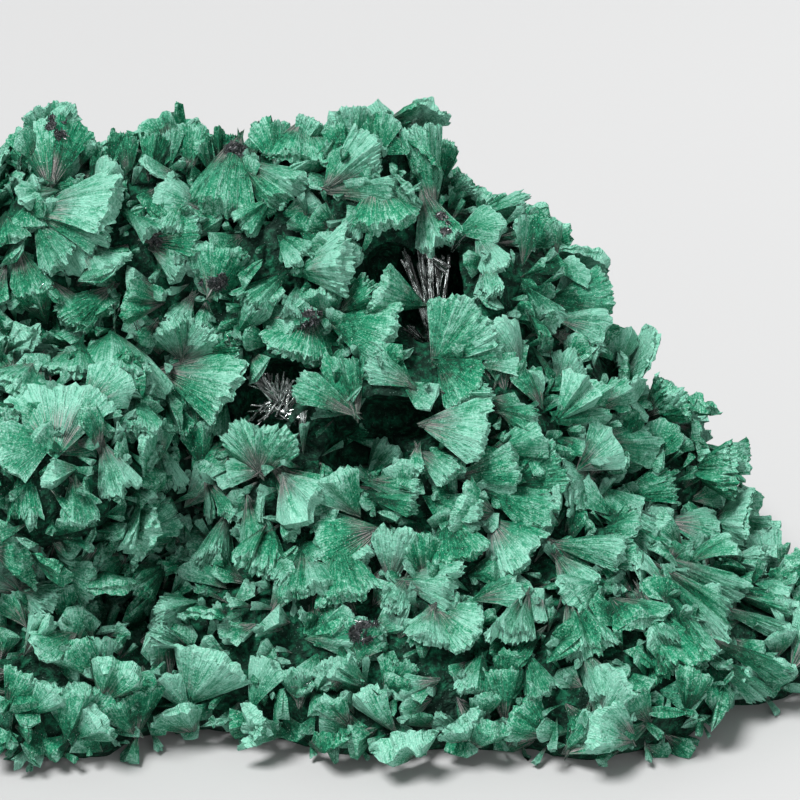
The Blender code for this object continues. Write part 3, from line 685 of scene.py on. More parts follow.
# %% The placed sheaves
PLACED_SHEAVES = {
    "left_knob": (
        ((50, 180), (48, 118), 35, 0, 0.5, 0.3), ((60, 125), (66, 98), 30, 20, 0.5),
        ((42, 130), (34, 104), 28, -20, 0.5, 0.6), ((24, 165), (12, 150), 25, 0, 0.5),
    ),
    "upper_left_slope": (
        ((39, 211), (128, 198), 22, 50, 1.5, 0.7), ((40, 215), (118, 240), 16, 20, 1.0, 0.6),
        ((39, 226), (68, 272), 24, 0, 1.6, 0.65), ((88, 250), (122, 272), 28, 20, 1.2),
        ((150, 238), (208, 228), 28, -10, 1.0, 0.35), ((158, 253), (186, 274), 20, 10, 1.2, 0.5),
        ((213, 291), (226, 240), 42, 0, 0.6, 0.35), ((239, 140), (215, 219), 20, 15, 1.4, 0.3),
        ((150, 172), (156, 132), 18, 0, 0.5), ((190, 165), (192, 124), 22, 0, 0.5),
        ((92, 180), (96, 138), 9, 40, 0.8), ((112, 164), (120, 130), 9, -40, 0.8),
        ((222, 165), (228, 126), 22, -15, 0.5), ((128, 172), (124, 134), 16, 0, 0.5),
        ((170, 160), (172, 128), 18, 20, 0.4), ((275, 160), (266, 122), 22, 20, 0.5),
        ((245, 165), (300, 205), 22, 0, 0.8, 0.4), ((265, 205), (236, 232), 24, 0, 0.8),
        ((180, 200), (160, 236), 24, 10, 1.0), ((285, 242), (308, 262), 28, 20, 1.2),
        ((279, 278), (243, 312), 24, 15, 1.8, 0.7), ((302, 270), (362, 258), 30, 10, 2.2, 0.75),
        ((58, 290), (88, 330), 24, 10, 1.0), ((20, 255), (34, 300), 26, 0, 1.0),
        ((110, 290), (60, 325), 22, -10, 0.8),
    ),
    "peak_and_saddle": (
        ((303, 125), (303, 170), 34, 0, 1.6, 0.3), ((328, 186), (382, 138), 22, 10, 1.4, 0.75),
        ((330, 192), (402, 190), 12, 30, 1.2, 0.65), ((377, 190), (386, 238), 42, 0, 1.2, 0.25),
        ((375, 150), (373, 108), 38, 0, 0.2, 0.55), ((434, 206), (417, 112), 15, 10, 0.9, 0.75),
        ((424, 195), (447, 255), 22, 10, 1.2, 0.55), ((298, 150), (318, 118), 26, 0, 0.4),
        ((345, 158), (336, 116), 20, 20, 0.5, 0.6), ((354, 142), (356, 103), 28, 10, 0.5, 0.65), ((442, 178), (445, 138), 20, 0, 0.3),
        ((455, 190), (474, 176), 26, 0, 0.4), ((360, 215), (345, 236), 22, 0, 0.8),
    ),
    "middle_slope": (
        ((181, 355), (169, 314), 24, 10, 1.6, 0.65), ((184, 355), (212, 322), 28, 0, 1.6, 0.65),
        ((165, 370), (246, 382), 27, 20, 2.4, 0.6), ((170, 378), (194, 416), 24, -10, 1.4, 0.35),
        ((259, 470), (234, 418), 20, 10, 1.6, 0.65), ((262, 470), (287, 424), 24, -10, 1.6, 0.65),
        ((259, 470), (220, 472), 20, 20, 1.2), ((335, 322), (404, 337), 27, 10, 2.2, 0.5),
        ((308, 318), (288, 365), 38, 0, 1.6, 0.25), ((297, 291), (290, 319), 14, 20, 2.4, 0.9),
        ((322, 316), (320, 285), 34, 0, 1.2, 0.4), ((352, 413), (291, 380), 16, 20, 2.2, 0.4),
        ((355, 412), (338, 350), 20, -10, 1.2, 0.3), ((408, 382), (365, 361), 22, 10, 1.6, 0.75),
        ((345, 310), (385, 284), 24, 0, 1.0), ((190, 300), (172, 330), 20, 0, 1.2),
        ((205, 350), (238, 345), 18, 0, 0.8), ((222, 405), (214, 440), 24, 0, 1.2),
        ((240, 330), (262, 300), 22, 0, 0.8),
    ),
    "around_the_hollows": (
        ((439, 358), (480, 296), 38, 5, 2.6, 0.65), ((441, 358), (506, 331), 20, -15, 2.0, 0.55),
        ((444, 365), (478, 396), 34, 0, 1.4, 0.4), ((485, 268), (495, 303), 10, 50, 1.4),
        ((377, 497), (428, 502), 20, 10, 1.8, 0.4), ((372, 483), (424, 476), 16, 30, 1.2, 0.35),
        ((423, 456), (458, 478), 22, 20, 1.8, 0.55), ((419, 452), (415, 478), 10, 60, 1.4, 0.6),
        ((429, 425), (498, 433), 30, 15, 2.4, 0.6), ((505, 412), (541, 425), 24, 0, 1.4, 0.5),
        ((460, 476), (528, 457), 18, 25, 2.2, 0.6), ((520, 478), (572, 455), 36, 0, 2.0, 0.55),
        ((493, 492), (564, 520), 24, 15, 2.2, 0.4), ((447, 516), (484, 511), 14, 40, 2.2, 0.6),
        ((446, 514), (466, 566), 28, 0, 1.8, 0.2), ((496, 527), (528, 570), 38, 0, 2.0, 0.75),
        ((505, 540), (543, 528), 24, 10, 1.6, 0.6), ((450, 395), (500, 400), 20, 0, 1.0),
    ),
    "front_foot": (
        ((337, 540), (352, 606), 22, 0, 2.0, 0.2), ((339, 541), (372, 562), 25, 10, 1.6, 0.8),
        ((303, 546), (325, 604), 22, 0, 2.2, 0.8), ((303, 546), (293, 611), 12, 20, 1.8, 0.35),
        ((300, 548), (276, 592), 15, 0, 1.6, 0.6), ((303, 545), (331, 555), 18, 40, 1.6, 0.6),
        ((392, 574), (398, 523), 27, 0, 1.4, 0.95), ((425, 575), (420, 531), 28, 0, 1.0, 0.35),
        ((407, 581), (466, 584), 24, 20, 2.2, 0.7), ((405, 582), (390, 612), 18, 0, 1.6, 0.7),
        ((332, 521), (332, 539), 38, 0, 1.6, 0.15), ((226, 516), (208, 571), 14, 0, 2.4, 0.85),
        ((268, 528), (255, 575), 24, 0, 1.6), ((205, 482), (234, 525), 6, 50, 1.6),
        ((363, 652), (363, 615), 40, 0, 1.0, 0.25), ((432, 611), (424, 650), 30, 0, 1.6, 0.5),
        ((440, 610), (480, 640), 34, 0, 1.8, 0.6), ((526, 598), (506, 648), 18, 20, 2.2, 0.7),
        ((554, 543), (632, 550), 14, 30, 2.4, 0.7), ((600, 560), (640, 543), 30, 30, 1.6),
        ((337, 680), (337, 652), 42, 0, 0.8), ((300, 697), (295, 666), 28, 0, 0.8),
        ((390, 690), (402, 655), 28, 0, 0.8),
    ),
    "near_left_lobe": (
        ((133, 538), (182, 506), 24, 10, 1.8, 0.7), ((112, 336), (112, 382), 28, 0, 1.6),
        ((81, 335), (75, 377), 20, 0, 1.6), ((136, 400), (137, 438), 26, 0, 1.6),
        ((55, 450), (55, 378), 38, 0, 1.0), ((20, 438), (22, 536), 11, 20, 2.2),
        ((75, 486), (82, 532), 26, 0, 1.8), ((165, 566), (126, 590), 18, 10, 1.8),
        ((194, 604), (155, 616), 20, 0, 1.8), ((182, 645), (150, 632), 15, 0, 1.8),
        ((12, 702), (30, 670), 30, 0, 1.0), ((170, 400), (176, 440), 22, 0, 1.6),
        ((160, 450), (176, 495), 20, 0, 1.6), ((105, 450), (125, 500), 24, 0, 1.8),
        ((40, 360), (15, 400), 24, 0, 1.0), ((20, 590), (60, 610), 22, 0, 1.6),
    ),
    "right_ridge": (
        ((600, 498), (672, 548), 12, 20, 1.2), ((612, 520), (664, 556), 12, -20, 1.4, 0.3),
        ((655, 556), (752, 596), 9, 10, 1.8, 0.6), ((652, 562), (744, 622), 8, -15, 1.8, 0.35),
        ((655, 568), (736, 646), 8, 10, 1.8, 0.6), ((655, 575), (716, 668), 8, -10, 1.8, 0.4),
        ((660, 582), (700, 690), 8, 15, 1.8, 0.55), ((722, 588), (800, 612), 9, 0, 1.6, 0.35),
        ((716, 606), (798, 636), 8, 15, 1.6, 0.6), ((712, 640), (800, 682), 8, -10, 1.6, 0.4),
        ((700, 650), (772, 702), 8, 10, 1.6, 0.6), ((640, 590), (672, 650), 10, 0, 1.8, 0.3),
        ((640, 598), (688, 682), 20, 0, 1.8), ((570, 600), (600, 662), 18, 10, 1.6),
        ((585, 655), (612, 702), 18, 0, 1.4), ((530, 660), (548, 702), 20, 0, 1.2),
        ((560, 560), (590, 600), 22, 0, 1.2), ((480, 660), (470, 700), 24, 0, 1.2),
    ),
    "back_edge": (
        ((480, 215), (534, 200), 15, 10, 0.6), ((555, 300), (614, 298), 28, 0, 0.6, 0.45),
        ((518, 242), (550, 228), 24, 0, 0.5), ((560, 335), (600, 345), 24, 0, 0.8),
        ((600, 405), (636, 380), 22, 10, 0.5, 0.5), ((648, 415), (684, 390), 24, 0, 0.5),
        ((690, 430), (700, 440), 24, 0, 0.5), ((698, 470), (736, 470), 22, 0, 0.6),
        ((718, 520), (750, 522), 22, 0, 0.6), ((735, 560), (768, 562), 22, 0, 0.6),
        ((598, 440), (650, 432), 20, 10, 0.8), ((556, 420), (600, 402), 22, 0, 0.8),
        ((620, 498), (680, 482), 18, 20, 0.8), ((528, 292), (556, 330), 22, 0, 0.8),
        ((480, 240), (500, 276), 22, 0, 1.0), ((560, 385), (575, 352), 24, 0, 0.8),
    ),
}


def placed_sheaf(row, ground):
    """A sheaf given in the front view: its pointed end, its direction, its side, its length and half its spread.
    Of the two ways to roll it, it takes the one that shows its front to the sky."""
    point_px, rim_px, spread, turn, stand_off = row[:5]
    point = spot_under(point_px, ground)
    rim = spot_under(rim_px, ground)
    sight = (rim - EYE).normalized()
    rim -= sight * stand_off
    along = (rim - point).normalized()
    length = min((rim - point).length, LONGEST_SHEAF)
    across = along.cross(sight).normalized()
    side = max((turned(across, along, way) for way in (turn, -turn)), key=lambda side: along.cross(side).z)
    half = math.atan(math.tan(math.radians(spread)) / math.cos(math.radians(turn)))
    return rim - along * length, along, side, length, half


placed = {name: [placed_sheaf(row, surface) for row in rows] for name, rows in PLACED_SHEAVES.items()}
print("placed sheaves:", {name: len(sheaves) for name, sheaves in placed.items()})

# %% [markdown]
# ## Bundles that share a pointed end
# A sheaf seldom stands alone. Fibres that start at the same point part into two or three fans, like the pages of
# an opened book, so every placed sheaf gets lesser fans from its own pointed end, swung aside and tilted down
# behind it. They close the gaps and cast the shadows that set the large fans off.

# %% The large sheaves, region by region
FANS_BEHIND = 2
FAN_SWING = (0.5, 1.15)
FAN_TILT = (22, 48)
FAN_LENGTH = (0.62, 0.92)
LARGE_GRID = (64, 11)
BEHIND_GRID = (28, 7)


def fans_behind(rng, sheaf, count):
    """Lesser fans from a sheaf's pointed end, swung to either side and tilted away behind it."""
    point, along, side, length, half = sheaf
    out = along.cross(side)
    found = []
    for index in range(count):
        hand = 1 if (index + rng.integers(2)) % 2 else -1
        swing = Matrix.Rotation(-hand * half * rng.uniform(*FAN_SWING), 3, out)
        tilt = Matrix.Rotation(math.radians(rng.uniform(*FAN_TILT)), 3, swing @ side)
        roll = Matrix.Rotation(rng.uniform(-0.5, 0.5), 3, tilt @ swing @ along)
        turn = roll @ tilt @ swing
        share = rng.uniform(*FAN_LENGTH)
        found.append((point, turn @ along, turn @ side, length * share, half * rng.uniform(0.6, 0.95)))
    return found


def dress(thing, material):
    thing.data.materials.clear()
    thing.data.materials.append(material)
    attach(thing, "root")
    return thing


rng = np.random.default_rng(SEED)
for region, sheaves in placed.items():
    behind = [
        fan for sheaf in sheaves for fan in fans_behind(rng, sheaf, FANS_BEHIND)
        if not in_hollow(fan[0] + fan[1] * fan[3] * 0.7)
    ]
    tones = [row[5] if len(row) > 5 else None for row in PLACED_SHEAVES[region]]
    front = add_object(f"{region}_sheaves", sheaves_mesh(region, rng, sheaves, *LARGE_GRID, tones))
    lesser = add_object(f"{region}_lesser_fans", sheaves_mesh(region, rng, behind, *BEHIND_GRID))
    for thing in (front, lesser):
        dress(thing, FIBRE_GREEN)
    print(region, len(front.data.polygons), "and", len(lesser.data.polygons), "faces")

# %% [markdown]
# ## Sheaves inside the cave
# The floor and the back of the largest hollow carry sheaves of their own, half in the dark. They are given like
# the placed ones, only their lines of sight end on the carved mass instead of the plain one.

# %% The sheaves inside the cave
CAVE_SHEAVES = (
    ((279, 474), (322, 512), 30, 0, 0.8), ((286, 470), (338, 486), 18, 10, 0.6),
    ((346, 474), (352, 530), 20, 0, 1.0), ((330, 500), (318, 540), 20, 10, 0.8),
    ((372, 470), (398, 440), 24, 0, 0.6), ((366, 488), (392, 470), 20, 20, 0.8),
    ((300, 500), (290, 535), 22, 0, 0.8), ((352, 436), (366, 424), 24, 0, 0.3),
)
inner = [placed_sheaf(row, inner_surface) for row in CAVE_SHEAVES]
rng = np.random.default_rng(SEED + 6)
inner += [fan for sheaf in inner for fan in fans_behind(rng, sheaf, 1)]
dress(add_object("cave_sheaves", sheaves_mesh("cave", rng, inner, *BEHIND_GRID)), FIBRE_GREEN)
print(len(inner), "sheaves inside the cave")

# %% [markdown]
# ## The sheaves between
# The rest of the surface, sides and back included, is covered by sheaves that no picture places. They are drawn
# over the carrying mass by area, kept a fan's width apart and turned along the surface, with the same draws as in
# the solid, so each lies over its own plain wedge there.

# %% The sheaves between
FILL_COUNT = 120
FILL_SPACING = 3.9
FILL_LENGTH = (3.2, 5.0)
LONGER_BEHIND = 0.4
FILL_HALF_SPREAD = (22, 38)
FILL_RISE = (5, 32)
FILL_TURN = 40
LOWEST_FILL = 1.2
UPRIGHT_BELOW = 5.0


def fill_sheaves(draw, taken):
    """Sheaves spread over the surface between the placed ones, lying on it or rising a little."""
    core.calc_loop_triangles()
    triangles = list(core.loop_triangles)
    areas = [triangle.area for triangle in triangles]
    found = []
    for triangle in draw.choices(triangles, areas, k=40 * FILL_COUNT):
        point = triangle.center / MM
        if point.z < LOWEST_FILL or min((point - other).length for other in taken) < FILL_SPACING:
            continue
        taken.append(point)
        normal = Vector(triangle.normal)
        lean = Vector((draw.uniform(-1, 1), draw.uniform(-1, 1), draw.uniform(-0.4, 1)))
        if point.z < UPRIGHT_BELOW:
            lean.z = 1
        lean = (lean - normal * lean.dot(normal)).normalized()
        rise = math.radians(draw.uniform(*FILL_RISE)) * min(1, 1.6 - normal.z)
        along = lean * math.cos(rise) + normal * math.sin(rise)
        side = turned(along.cross(normal).normalized(), along, draw.uniform(-FILL_TURN, FILL_TURN))
        half = math.radians(draw.uniform(*FILL_HALF_SPREAD))
        length = draw.uniform(*FILL_LENGTH) * (1 + LONGER_BEHIND * max(0, normal.y))
        found.append((point, along, -side, length, half))
        if len(found) == FILL_COUNT:
            break
    return found


draw = random.Random(SEED)
taken = [point + along * length / 2 for group in placed.values() for point, along, _, length, _ in group]
between = fill_sheaves(draw, taken)
rng = np.random.default_rng(SEED + 1)
behind = [fan for sheaf in between for fan in fans_behind(rng, sheaf, 1)]
dress(add_object("sheaves_between", sheaves_mesh("between", rng, between, 44, 10)), FIBRE_GREEN)
dress(add_object("lesser_fans_between", sheaves_mesh("lesser_between", rng, behind, 28, 7)), FIBRE_GREEN)
print(len(between), "sheaves between and", len(behind), "lesser fans")

# %% [markdown]
# ## The small sheaves
# Under and between the fans the mass bristles with sheaves a millimetre or three long, many hundreds of them.
# Placing these one by one would be dull and slow. Geometry Nodes does it: points are scattered over the fine mass
# with a least distance, each point gets one of a few small sheaves, stands it up along the surface's normal, leans
# and scales it at random and stores a tone for its colour. Realize Instances makes them real faces at the end.

# %% A tree that scatters small pieces over a surface
SMALL_GRID = (8, 3)
SMALL_VARIANTS = 6
SMALL_SPREAD = (20, 40)
BLADE_SPREAD = (5, 12)


class Tree:
    """A geometry node tree that is built line by line."""

    def __init__(self, name):
        self.tree = bpy.data.node_groups.new(name, "GeometryNodeTree")
        self.tree.interface.new_socket("Geometry", in_out="OUTPUT", socket_type="NodeSocketGeometry")
        self.tree.interface.new_socket("Geometry", in_out="INPUT", socket_type="NodeSocketGeometry")
        self.names = {}

    def ask(self, name, kind, value=None):
        """A named input of the tree."""
        made = self.tree.interface.new_socket(name, in_out="INPUT", socket_type=f"NodeSocket{kind}")
        if value is not None:
            made.default_value = value
        self.names[name] = made.identifier

    def node(self, kind, settings=None, links=None):
        made = self.tree.nodes.new(f"{kind}")
        for key, value in (settings or {}).items():
            setattr(made, key, value)
        for key, value in (links or {}).items():
            if isinstance(value, bpy.types.NodeSocket):
                self.tree.links.new(value, made.inputs[key])
            else:
                made.inputs[key].default_value = value
        return made

    def run(self, surface_thing, **inputs):
        """The tree's result on an object, as a plain mesh."""
        change = surface_thing.modifiers.new(self.tree.name, "NODES")
        change.node_group = self.tree
        for name, value in inputs.items():
            change[self.names[name.replace("_", " ")]] = value
        mesh = shaped_mesh(surface_thing)
        surface_thing.modifiers.remove(change)
        return mesh


def random_value(tree, kind, low, high, seed):
    sizes = {"FLOAT": (2, 3, 1), "FLOAT_VECTOR": (0, 1, 0)}[kind]
    made = tree.node(
        "FunctionNodeRandomValue", {"data_type": kind}, {sizes[0]: low, sizes[1]: high, "Seed": seed}
    )
    return made.outputs[sizes[2]]


def scatter_tree():
    tree = Tree("scatter")
    for name, kind, value in (
        ("Variants", "Collection", None), ("Distance", "Float", 0.001), ("Density", "Float", 5e5),
        ("Least size", "Float", 0.7), ("Most size", "Float", 1.3),
        ("Least turn", "Vector", (0, 0, 0)), ("Most turn", "Vector", (1, 1, 1)),
        ("Lowest", "Float", 0.001), ("Seed", "Int", 0), ("Finish", "Material", None),
    ):
        tree.ask(name, kind, value)
    asked = tree.node("NodeGroupInput").outputs
    free = tree.node("GeometryNodeInputNamedAttribute", {"data_type": "FLOAT"}, {"Name": "free"})
    spread = tree.node(
        "GeometryNodeDistributePointsOnFaces", {"distribute_method": "POISSON"},
        {"Mesh": asked["Geometry"], "Distance Min": asked["Distance"], "Density Max": asked["Density"],
         "Density Factor": free.outputs[0], "Seed": asked["Seed"]},
    )
    height = tree.node("ShaderNodeSeparateXYZ", None, {0: tree.node("GeometryNodeInputPosition").outputs[0]})
    low = tree.node(
        "FunctionNodeCompare", {"data_type": "FLOAT", "operation": "LESS_THAN"},
        {0: height.outputs[2], 1: asked["Lowest"]},
    )
    kept = tree.node("GeometryNodeDeleteGeometry", None, {0: spread.outputs["Points"], 1: low.outputs[0]})
    variants = tree.node("GeometryNodeCollectionInfo", None, {0: asked["Variants"], 1: True, 2: True})
    upright = tree.node(
        "FunctionNodeAlignRotationToVector", {"axis": "Z"}, {"Vector": spread.outputs["Normal"]}
    )
    turn = random_value(tree, "FLOAT_VECTOR", asked["Least turn"], asked["Most turn"], 1)
    leaning = tree.node(
        "FunctionNodeRotateRotation", {"rotation_space": "LOCAL"}, {0: upright.outputs[0], 1: turn}
    )
    size = tree.node("FunctionNodeRandomValue", {"data_type": "FLOAT"},
                     {2: asked["Least size"], 3: asked["Most size"], "Seed": 2})
    placed = tree.node(
        "GeometryNodeInstanceOnPoints", None,
        {"Points": kept.outputs[0], "Instance": variants.outputs[0], "Pick Instance": True,
         "Rotation": leaning.outputs[0], "Scale": size.outputs[1]},
    )
    toned = tree.node(
        "GeometryNodeStoreNamedAttribute", {"data_type": "FLOAT", "domain": "INSTANCE"},
        {"Geometry": placed.outputs[0], "Name": "tone", "Value": random_value(tree, "FLOAT", 0.0, 0.75, 3)},
    )
    real = tree.node("GeometryNodeRealizeInstances", None, {0: toned.outputs[0]})
    painted = tree.node("GeometryNodeSetMaterial", None, {0: real.outputs[0], "Material": asked["Finish"]})
    end = tree.node("NodeGroupOutput")
    tree.tree.links.new(painted.outputs[0], end.inputs[0])
    return tree


scatter = scatter_tree()
print("the scatter tree asks for:", ", ".join(scatter.names))

# %% [markdown]
# ## The middling sheaves
# Between the fans that can be told apart stand many more of half their size, leaning every way. They are made by
# the same code with fewer fibres, over points drawn from the carrying mass and kept a little apart.

# %% The middling sheaves
MIDDLING_COUNT = 410
MIDDLING_SPACING = 1.9
MIDDLING_LENGTH = (2.4, 4.2)
MIDDLING_HALF_SPREAD = (18, 40)
MIDDLING_RISE = (0, 38)
MIDDLING_TURN = 40
CLEAR_OF_LARGE = 1.7
MIDDLING_GRID = (28, 6)


def on_large(point):
    return min((point - other).length for other in large_spots) < CLEAR_OF_LARGE


large_spots = [
    point + along * length * share
    for group in placed.values() for point, along, _, length, _ in group for share in (0.35, 0.75)
]


def middling_sheaves(draw):
    triangles = list(core.loop_triangles)
    areas = [triangle.area for triangle in triangles]
    found = []
    spots = []
    for triangle in draw.choices(triangles, areas, k=60 * MIDDLING_COUNT):
        corners = [core.vertices[index].co / MM for index in triangle.vertices]
        first, second = sorted((draw.random(), draw.random()))
        point = corners[0] * first + corners[1] * (second - first) + corners[2] * (1 - second)
        if point.z < LOWEST_FILL or any((point - other).length < MIDDLING_SPACING for other in spots):
            continue
        if in_hollow(point) or on_large(point):
            continue
        spots.append(point)
        normal = Vector(triangle.normal)
        lean = Vector((draw.uniform(-1, 1), draw.uniform(-1, 1), draw.uniform(-0.6, 1)))
        if point.z < UPRIGHT_BELOW:
            lean.z = 1
        lean = (lean - normal * lean.dot(normal)).normalized()
        rise = math.radians(draw.uniform(*MIDDLING_RISE))
        along = lean * math.cos(rise) + normal * math.sin(rise)
        side = turned(along.cross(normal).normalized(), along, draw.uniform(-MIDDLING_TURN, MIDDLING_TURN))
        half = math.radians(draw.uniform(*MIDDLING_HALF_SPREAD))
        found.append((point + normal * draw.uniform(0, 0.5), along, -side, draw.uniform(*MIDDLING_LENGTH), half))
        if len(found) == MIDDLING_COUNT:
            break
    return found


rng = np.random.default_rng(SEED + 5)
middling = middling_sheaves(random.Random(SEED + 5))
dress(add_object("middling_sheaves", sheaves_mesh("middling", rng, middling, *MIDDLING_GRID)), FIBRE_GREEN)
print(len(middling), "middling sheaves")

# %% [markdown]
# A few small sheaves of unit length serve as variants. Each has only a few dozen faces, because hundreds of copies
# are made of it. They stand along Z, from a point just under the surface.

# %% The small sheaves
def variant_collection(name, meshes):
    """A collection outside the scene, for the scatter tree to pick from."""
    made = bpy.data.collections.new(name)
    for mesh in meshes:
        made.objects.link(bpy.data.objects.new(mesh.name, mesh))
    return made


def small_sheaf(rng, spread):
    half = math.radians(rng.uniform(*spread))
    sheaf = (Vector((0, 0, 0.6)), Vector((0, 0, 1)), Vector((1, 0, 0)), rng.uniform(1.7, 2.3), half)
    return sheaf_grid(rng, sheaf, *SMALL_GRID)


def hold_in_box(mesh):
    corners = np.empty(3 * len(mesh.vertices))
    mesh.vertices.foreach_get("co", corners)
    mesh.vertices.foreach_set("co", (fit_in_box(corners.reshape(-1, 3) / MM) * MM).ravel())
    mesh.update()


def variants(name, rng, spread):
    meshes = [
        grids_mesh(f"{name}_{index}", [small_sheaf(rng, spread)], *SMALL_GRID) for index in range(SMALL_VARIANTS)
    ]
    return variant_collection(f"{name}_variants", meshes)


rng = np.random.default_rng(SEED + 2)
small_fans = variants("small_fan", rng, SMALL_SPREAD)
blades = variants("blade", rng, BLADE_SPREAD)
for name, shapes, settings in (
    ("small_sheaves", small_fans, {
        "Distance": 1.35 * MM, "Density": 9e5, "Least_size": 0.6, "Most_size": 1.2,
        "Least_turn": (0.75, -0.5, -math.pi), "Most_turn": (1.4, 0.5, math.pi), "Seed": SEED}),
    ("small_blades", blades, {
        "Distance": 1.2 * MM, "Density": 1.5e6, "Least_size": 0.5, "Most_size": 1.1,
        "Least_turn": (-0.9, -0.9, -math.pi), "Most_turn": (0.9, 0.9, math.pi), "Seed": SEED + 1}),
):
    made = scatter.run(mass, Variants=shapes, Lowest=0.8 * MM, Finish=FIBRE_GREEN, **settings)
    hold_in_box(made)
    dress(add_object(name, made), FIBRE_GREEN)
    print(name, len(made.polygons), "faces")
dress(mass, MASS_GREEN)
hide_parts("malachite")


# %% [markdown]
# ## Druse
# At the pointed ends of some sheaves lie patches of crystals too small to tell apart, dark and a little purple,
# which sparkle. They could be speckles in a material, but their surface is spiky. So the same scatter tree sets
# small prisms on a flat cushion at each place, laid on whatever face shows there in the front view. The cushions
# only carry the prisms and stay, hidden under them.

# %% The clumps of druse
DRUSE_SPOTS = (
    (242, 145), (60, 128), (150, 238), (213, 286), (308, 318), (448, 222), (363, 633),
)
DRUSE_HALF = (0.30, 0.80)
DRUSE_THICKNESS = 0.07
DRUSE_DARK = (0.006, 0.010, 0.010, 1)
DRUSE_GREY = (0.075, 0.080, 0.090, 1)


def druse_finish():
    graph = Graph("druse")
    place = graph.place()
    fine = graph.noise(place, 5200, 2)
    tone = graph.attribute("tone")
    colour = graph.mix((fine + 0.3 * (tone - 0.5)).ramp(0.42, 0.66), DRUSE_DARK, DRUSE_GREY)
    # A few prisms are painted near white as glints.
    colour = graph.mix(tone.ramp(0.93, 0.97), colour, PAINTED_GLINT)
    return graph.finish(Base_Color=colour, Roughness=0.32, IOR=1.8)


def prism(name, sides, length, radius):
    """A small prism along Z with a point, in metres."""
    form = bmesh.new()
    bmesh.ops.create_cone(
        form, cap_ends=True, segments=sides, radius1=radius, radius2=radius * 0.7, depth=length,
        matrix=Matrix.Translation((0, 0, length / 2)),
    )
    return mesh_of(name, form)


def faces_in_front(names):
    """A tree of the faces of several objects, for lines of sight to meet."""
    corners, faces = [], []
    for name in names:
        mesh = bpy.data.objects[name].data
        faces += [[index + len(corners) for index in face.vertices] for face in mesh.polygons]
        corners += [vertex.co / MM for vertex in mesh.vertices]
    return BVHTree.FromPolygons(corners, faces)


rng = np.random.default_rng(SEED + 7)
fronts = faces_in_front(["sheaves_between", "middling_sheaves"] + [f"{region}_sheaves" for region in placed])
cushions = bmesh.new()
for pixel in DRUSE_SPOTS:
    for _ in range(5):
        near = (pixel[0] + rng.uniform(-12, 12), pixel[1] + rng.uniform(-9, 9))
        spot, normal = fronts.ray_cast(EYE, sight_of(near))[:2]
        if spot:
            lying = Matrix.Translation(spot) @ normal.to_track_quat("Z", "Y").to_matrix().to_4x4()
            half = (*rng.uniform(*DRUSE_HALF, 2) * rng.uniform(0.4, 1), DRUSE_THICKNESS)
            ellipsoid(cushions, lying, (0, 0, 0), half, 2)
cushions = add_object("druse_cushions", mesh_of("druse_cushions", cushions))
everywhere = [1.0] * len(cushions.data.vertices)
cushions.data.attributes.new("free", "FLOAT", "POINT").data.foreach_set("value", everywhere)
prisms = variant_collection("prisms", [prism(f"prism_{sides}", sides, 0.20, 0.03) for sides in (4, 5)])
DRUSE = druse_finish()
made = scatter.run(
    cushions, Variants=prisms, Distance=0.07 * MM, Density=2e8, Least_size=0.5, Most_size=1.5,
    Least_turn=(-1.1, -1.1, -math.pi), Most_turn=(1.1, 1.1, math.pi), Lowest=0.5 * MM, Seed=SEED + 3, Finish=DRUSE,
)
hold_in_box(made)
dress(add_object("druse_crystals", made), DRUSE)
dress(cushions, DRUSE)
print("druse:", len(made.polygons), "faces")
# %% [markdown]
# ## Needles in the hollows
# Two hollows hold glassy needles, nearly black, that flash where a flat side mirrors the light. They could be one
# smooth spray, but real needles are prisms with flat sides, and it is those flats that flash. Each needle is a
# six-sided prism, a little flattened and cut off at a slant. A spray is many needles between two clouds of points,
# given in the axes of its hollow: across, up and inwards, in millimetres from the hollow's middle.

# %% The needles' finish
NEEDLE_DARK = (0.003, 0.013, 0.009, 1)
NEEDLE_GREEN = (0.020, 0.110, 0.060, 1)
NEEDLE_GLINT_SILVER = (0.780, 0.860, 0.840, 1)


def glassy_malachite():
    graph = Graph("glassy_malachite")
    uv = graph.node("ShaderNodeUVMap")
    stretched = graph.node("ShaderNodeMapping", None, {"Vector": uv, "Scale": (9, 1.2, 1)})
    lines = graph.noise(stretched, 1.0, 2)
    tone = graph.attribute("tone")
    colour = graph.mix((tone * lines * 2).ramp(0.7, 1.1), NEEDLE_DARK, NEEDLE_GREEN)
    breaks = graph.noise(graph.place(), 2600, 1)
    # Silver streaks along the needles are painted glints; they are also metallic, so they mirror the lamps as well.
    glint_streaks = (lines * 0.7 + breaks * 0.3).ramp(0.48, 0.53) * tone.ramp(0.2, 0.5)
    colour = graph.mix(glint_streaks, colour, NEEDLE_GLINT_SILVER)
    roughness = 0.10 + 0.3 * lines.ramp(0.5, 0.8)
    return graph.finish(
        Base_Color=colour, Roughness=roughness, Metallic=glint_streaks * 0.9, Normal=graph.bump(lines, 0.03 * MM),
        IOR=1.75, Coat_Weight=0.3, Coat_Roughness=0.05,
    )


GLASSY_GREEN = glassy_malachite()

